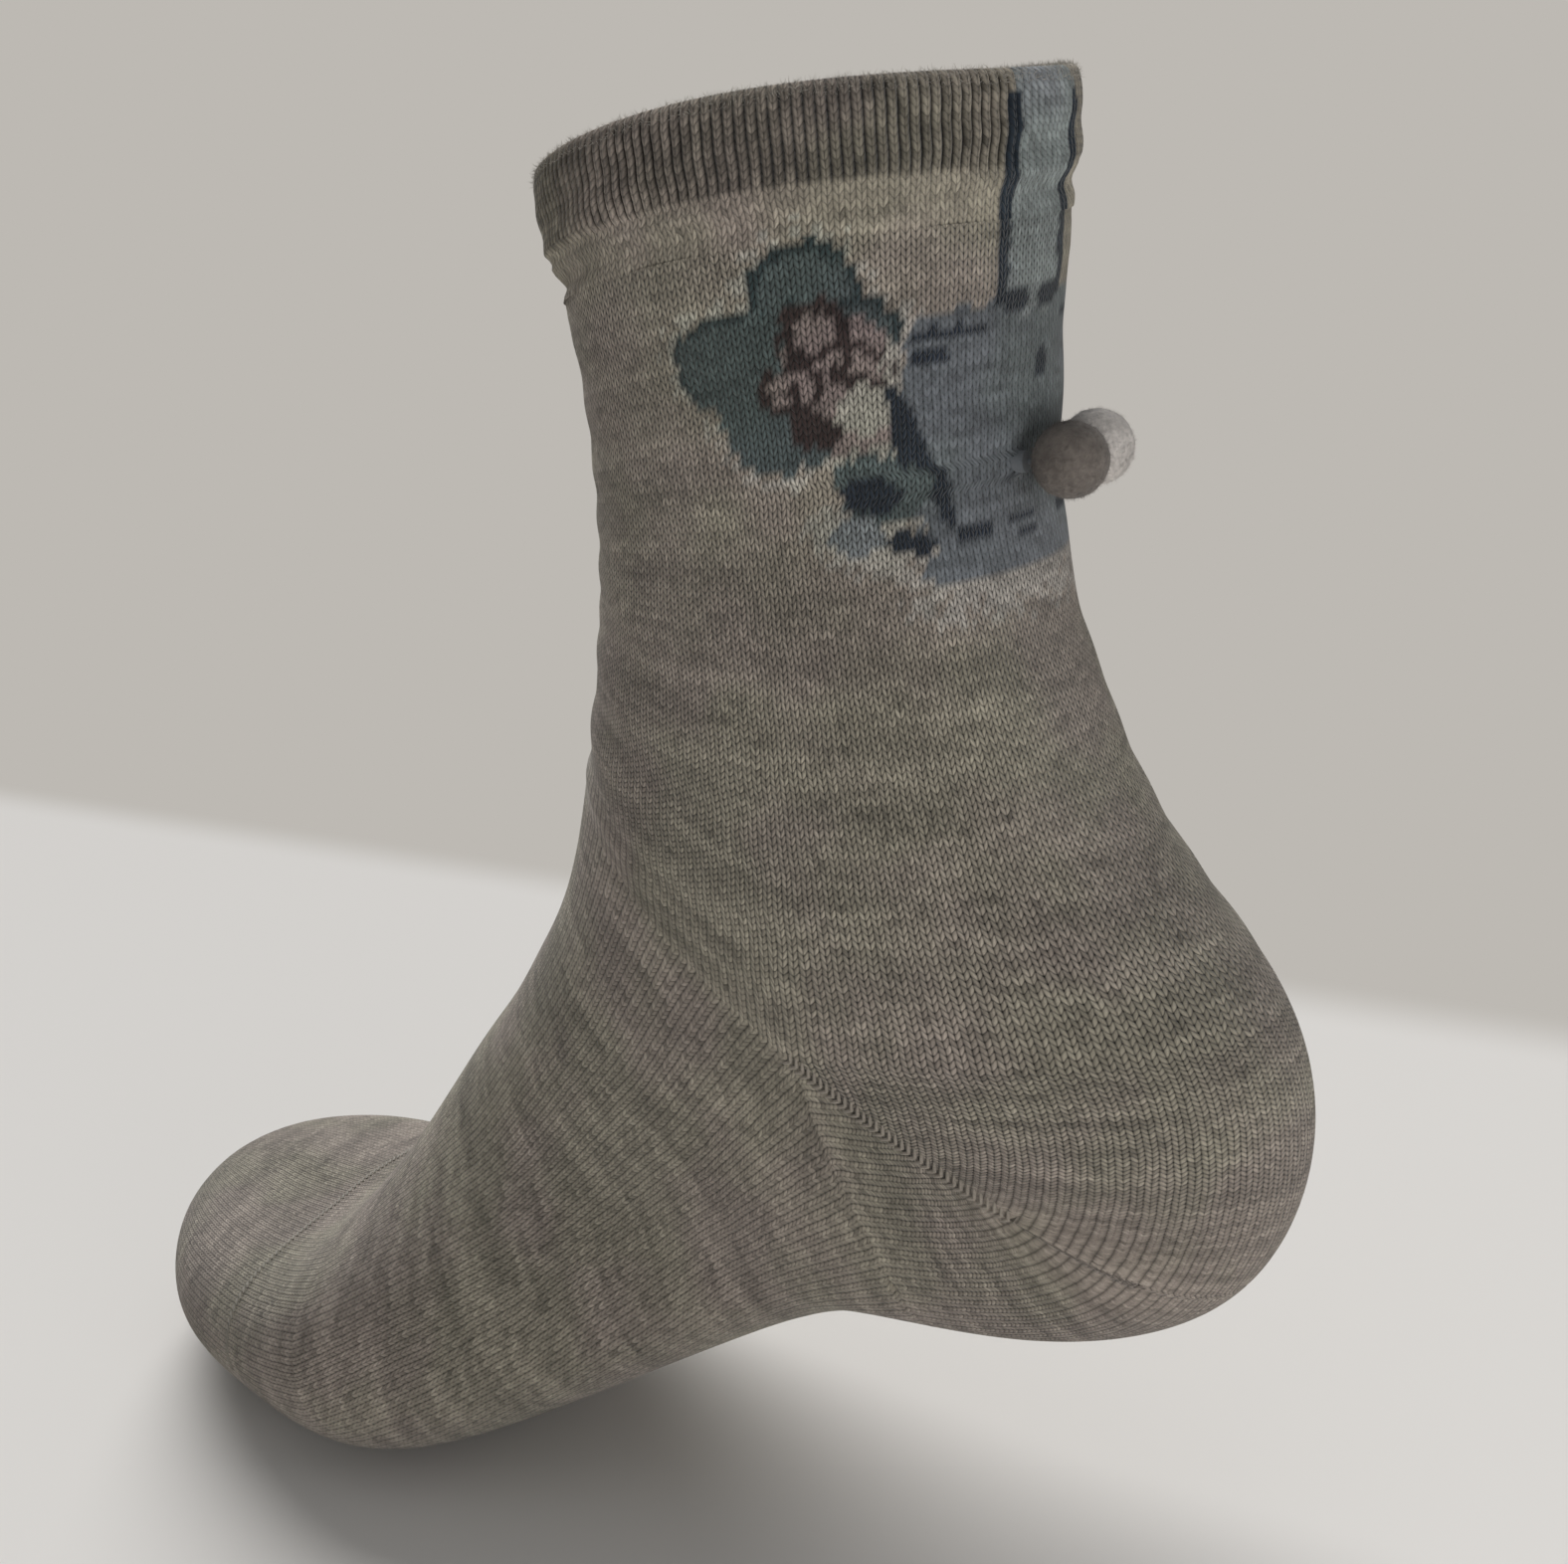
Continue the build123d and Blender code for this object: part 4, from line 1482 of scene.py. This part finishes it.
@dataclass(frozen=True)
class Paw:
    """One felt paw with a magnet, on a short tether.

    Attributes:
        name: "outer" or "inner".
        side: 1 for the outer paw and -1 for the inner one.
        bulge: Depth of the felt's uneven surface.
        seam: Depth of the seam round the ball.
        shrink: Size of the felt ball inside its loose fibres, as a share of the whole.
    """
    name: str
    side: int
    bulge: float = 0.00014
    seam: float = 0.00008
    shrink: float = 0.945

    def build(self, looks: Finishes) -> list[bpy.types.Object]:
        """Makes the ball, its fuzz and its tether.

        Args:
            looks: Materials.

        Returns:
            The pieces.
        """
        low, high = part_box(f"paw_cover_{self.name}")
        radius = (high.z - low.z) / 2
        centre = Vector((self.side * max(abs(low.x), abs(high.x)) - self.side * radius,
                         (low.y + high.y) / 2, (low.z + high.z) / 2))
        flat = min(abs(low.x), abs(high.x))
        # The far paw takes the paler copy of the felt, which is painted light.
        felt = looks.felt if self.side > 0 else looks.painted_lit_felt
        ball = self._ball(centre, radius, flat, felt)
        settle(ball, f"{self.name}_paw", "paw_fabric", f"paw_cover_{self.name}")
        made = [ball, self._fuzz(ball, felt)]
        low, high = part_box(f"tether_{self.name}")
        x, z = (low.x + high.x) / 2, (low.z + high.z) / 2
        span = np.linspace(low.y, high.y, 40)
        path = np.stack([np.full(40, x), span, np.full(40, z)], axis=1)
        cord = add_object(f"tether_cord_{self.name}", swept_tube(
            f"tether_cord_{self.name}", path, (high.z - low.z) / 2 * 0.85, 12, looks.cord,
            twist=3.0, lobes=2, depth=0.3))
        settle(cord, f"{self.name}_tether", "seam_thread", f"tether_{self.name}")
        return [*made, cord]

    def _ball(self, centre: Vector, radius: float, flat: float,
              felt: bpy.types.Material) -> bpy.types.Object:
        """Closed ball with a flat face towards the other paw."""
        rings, sides = 64, 96
        points, faces = [], []
        for k in range(rings + 1):
            tall = math.pi * k / rings
            for j in range(sides):
                turn = 2 * math.pi * j / sides
                way = Vector((math.cos(tall) * self.side, math.sin(tall) * math.cos(turn),
                              math.sin(tall) * math.sin(turn)))
                rough = (math.sin(9 * way.x + 4 * way.y) + math.sin(11 * way.y - 5 * way.z + 1)
                         + math.sin(8 * way.z + 6 * way.x + 2)) / 3
                groove = math.exp(-((way.x * self.side - 0.18) / 0.045) ** 2)
                reach = radius * self.shrink - self.bulge * (0.8 + 0.5 * rough) - self.seam * groove
                place = centre + way * reach
                gap = abs(place.x) if place.x * self.side > 0 else -abs(place.x)
                if gap < flat + 0.0002:
                    place.x = self.side * (flat + 0.0002)
                points.append(tuple(place))
        for k in range(rings):
            for j in range(sides):
                nxt = (j + 1) % sides
                faces.append([k * sides + j, k * sides + nxt, (k + 1) * sides + nxt,
                              (k + 1) * sides + j])
        grid = np.array(points)
        quads = np.array(faces)
        if signed_volume(grid - grid.mean(axis=0), quads) < 0:
            quads = quads[:, ::-1]
        return add_object(f"paw_ball_{self.name}", mesh_from(
            f"paw_ball_{self.name}", grid, quads, felt))

    def _fuzz(self, ball: bpy.types.Object, felt: bpy.types.Material) -> bpy.types.Object:
        """Short loose fibres on the ball."""
        fibre = make_fibre("fibre", 0.0007, 0.000028)
        piece = fuzz(f"paw_fuzz_{self.name}", ball, fibre, felt,
                     FuzzFinish(density=6.0e6, scale=0.75, seed=5 + self.side))
        bpy.data.objects.remove(fibre)
        return settle(piece, f"{self.name}_paw", "paw_fabric")


class Sock:
    """The whole sock with its paws."""

    def __init__(self) -> None:
        """Makes the finishes and finds the sock's outer face."""
        self.looks = make_finishes()
        self.skin = Skin(SKIN_NODES)

    def build(self) -> None:
        """Makes every piece."""
        Cuff().build(self.skin, self.looks)
        Leg().build(self.skin, self.looks)
        Heel().build(self.skin, self.looks)
        Foot().build(self.skin, self.looks)
        for name, side in (("outer", 1), ("inner", -1)):
            Paw(name, side).build(self.looks)
        self._dress_plain_nodes()

    def _dress_plain_nodes(self) -> None:
        """Gives CAD nodes that stay in view their finishes."""
        looks = self.looks
        dressed = {
            "elastic_yarns": looks.elastic, "float_yarns": looks.floats,
            "paw_filling_outer": looks.filling, "paw_filling_inner": looks.filling,
            "paw_magnet_outer": looks.magnet, "paw_magnet_inner": looks.magnet,
            "tether_anchor_outer": looks.cord, "tether_anchor_inner": looks.cord,
        }
        for name, material in dressed.items():
            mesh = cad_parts[name].data
            mesh.materials.clear()
            mesh.materials.append(material)


# ======================================================================== studio
FLOOR_TONE = linear(226, 223, 219)
FAR_TONE = linear(189, 185, 179)
UNLIT = linear(0, 0, 0)
STAGE_ROUGHNESS = 0.85


@dataclass(frozen=True)
class Studio:
    """Floor, backdrop, lights and camera.

    Attributes:
        floor: Height of the floor.
        wall_near: X and Y of one place on the line between the floor's two tones.
        wall_far: Another place on it, on the toe side.
        line: Half of the width of the soft line between the floor's two tones.
        reach: Half of the floor's width.
        around: Radius of the round wall.
        tall: Height of the round wall.
        eye: Place of the camera.
        right: The picture's right-hand direction.
        up: The picture's upward direction.
        lens: Focal length in millimetres.
        key_place: Direction that the key light comes from.
        key_strength: Strength of the key light.
        key_spread: Angle that the key light fills, in degrees.
        sky: Strength of the even light from all sides.
        aim: Place that the two smaller lights face.
    """
    floor: float = -0.2202
    wall_near: tuple[float, float] = (-0.1887, 0.0712)
    wall_far: tuple[float, float] = (-0.2726, -0.5458)
    line: float = 0.014
    reach: float = 4.0
    around: float = 3.5
    tall: float = 3.0
    eye: tuple[float, float, float] = (0.2591, 0.1375, -0.0081)
    right: tuple[float, float, float] = (-0.47336, 0.87329, -0.11531)
    up: tuple[float, float, float] = (-0.31163, -0.04358, 0.94920)
    lens: float = 46.7
    key_place: tuple[float, float, float] = (-0.78, -0.68, 0.64)
    key_strength: float = 3.7
    key_spread: float = 46.0
    sky: float = 0.22
    aim: tuple[float, float, float] = (0.0, -0.03, -0.12)

    def build(self) -> None:
        """Makes the stage."""
        self._floor()
        self._wall()
        self._camera()
        self._lights()

    def _floor(self) -> None:
        """Wide pale floor, darker beyond the line where a backdrop would stand."""
        near, far = Vector((*self.wall_near, 0)), Vector((*self.wall_far, 0))
        along = (near - far).normalized()
        away = Vector((along.y, -along.x, 0))
        steps = np.linspace(-self.reach, self.reach, 9)
        points = np.array([(x, y, self.floor) for y in steps for x in steps])
        count = len(steps)
        faces = [[r * count + c, r * count + c + 1, (r + 1) * count + c + 1, (r + 1) * count + c]
                 for r in range(count - 1) for c in range(count - 1)]
        g = Graph("floor")
        parts = g.node("ShaderNodeSeparateXYZ", None, {0: g.place()})
        depth = ((Value(g, parts.outputs[0]) - near.x) * away.x
                 + (Value(g, parts.outputs[1]) - near.y) * away.y)
        beyond = 1.0 - depth.ramp(-self.line, self.line)
        material = g.finish(g.mix(beyond, FLOOR_TONE, UNLIT), STAGE_ROUGHNESS, None, 0.0)
        self._self_lit(g, g.mix(beyond, UNLIT, FAR_TONE))
        add_object("floor", mesh_from("floor", points, faces, material))

    def _wall(self) -> None:
        """Round wall far away, in the floor's far tone."""
        turns = np.linspace(0, math.tau, 49)[:-1]
        rows = [(self.around * math.cos(t), self.around * math.sin(t), z)
                for z in (self.floor - 0.01, self.floor + self.tall) for t in turns]
        count = len(turns)
        sides = [[k, (k + 1) % count, count + (k + 1) % count, count + k] for k in range(count)]
        g = Graph("wall")
        material = g.finish(UNLIT, STAGE_ROUGHNESS, None, 0.0)
        self._self_lit(g, FAR_TONE)
        wall = add_object("wall", mesh_from("wall", np.array(rows), sides, material))
        wall.visible_shadow = wall.visible_diffuse = wall.visible_glossy = False

    def _self_lit(self, graph: Graph, glow: object) -> None:
        """Gives a stage material its own light and no shine.

        Args:
            graph: The material's graph.
            glow: Colour of the light.
        """
        graph.feed(graph.surface.inputs["Emission Color"], glow)
        graph.surface.inputs["Emission Strength"].default_value = 1.0
        graph.surface.inputs["Sheen Weight"].default_value = 0.0
        graph.surface.inputs["Specular IOR Level"].default_value = 0.0

    def _camera(self) -> None:
        """Adds the camera."""
        data = bpy.data.cameras.new("camera")
        data.lens, data.sensor_width = self.lens, 36.0
        data.clip_start, data.clip_end = 0.01, 20.0
        camera = bpy.data.objects.new("camera", data)
        bpy.context.scene.collection.objects.link(camera)
        right, up = Vector(self.right), Vector(self.up)
        back = right.cross(up)
        turn = Matrix((right, up, back)).transposed().to_4x4()
        camera.matrix_world = Matrix.Translation(Vector(self.eye)) @ turn
        bpy.context.scene.camera = camera

    def _lights(self) -> None:
        """Adds the even light, the key light and two smaller ones."""
        world = bpy.data.worlds.new("studio")
        world.use_nodes = True
        background = world.node_tree.nodes["Background"]
        background.inputs[0].default_value = (0.97, 0.985, 1.0, 1.0)
        background.inputs[1].default_value = self.sky
        bpy.context.scene.world = world
        self._sun()
        self._area("top", (0.02, 0.06, 0.80), 0.8, 0.3)
        self._area("heel", (0.34, 0.46, -0.15), 0.35, 1.5)
        bpy.context.scene.view_settings.view_transform = "Standard"
        bpy.context.scene.view_settings.look = "None"

    def _sun(self) -> None:
        """Wide soft light from beyond the toes."""
        data = bpy.data.lights.new("key", "SUN")
        data.energy, data.angle = self.key_strength, math.radians(self.key_spread)
        lamp = bpy.data.objects.new("key", data)
        bpy.context.scene.collection.objects.link(lamp)
        lamp.rotation_euler = (-Vector(self.key_place)).to_track_quat("-Z", "Y").to_euler()

    def _area(self, name: str, place: tuple[float, float, float], size: float,
              power: float) -> None:
        """Soft square light that faces the sock.

        Args:
            name: Name of the light.
            place: Its place.
            size: Length of its side.
            power: Its power in watts.
        """
        data = bpy.data.lights.new(name, "AREA")
        data.size, data.energy = size, power
        lamp = bpy.data.objects.new(name, data)
        bpy.context.scene.collection.objects.link(lamp)
        lamp.location = place
        aim = Vector(self.aim) - Vector(place)
        lamp.rotation_euler = aim.to_track_quat("-Z", "Y").to_euler()


def main() -> None:
    """Builds the scene."""
    Sock().build()
    Studio().build()


if __name__ == "__main__":
    main()
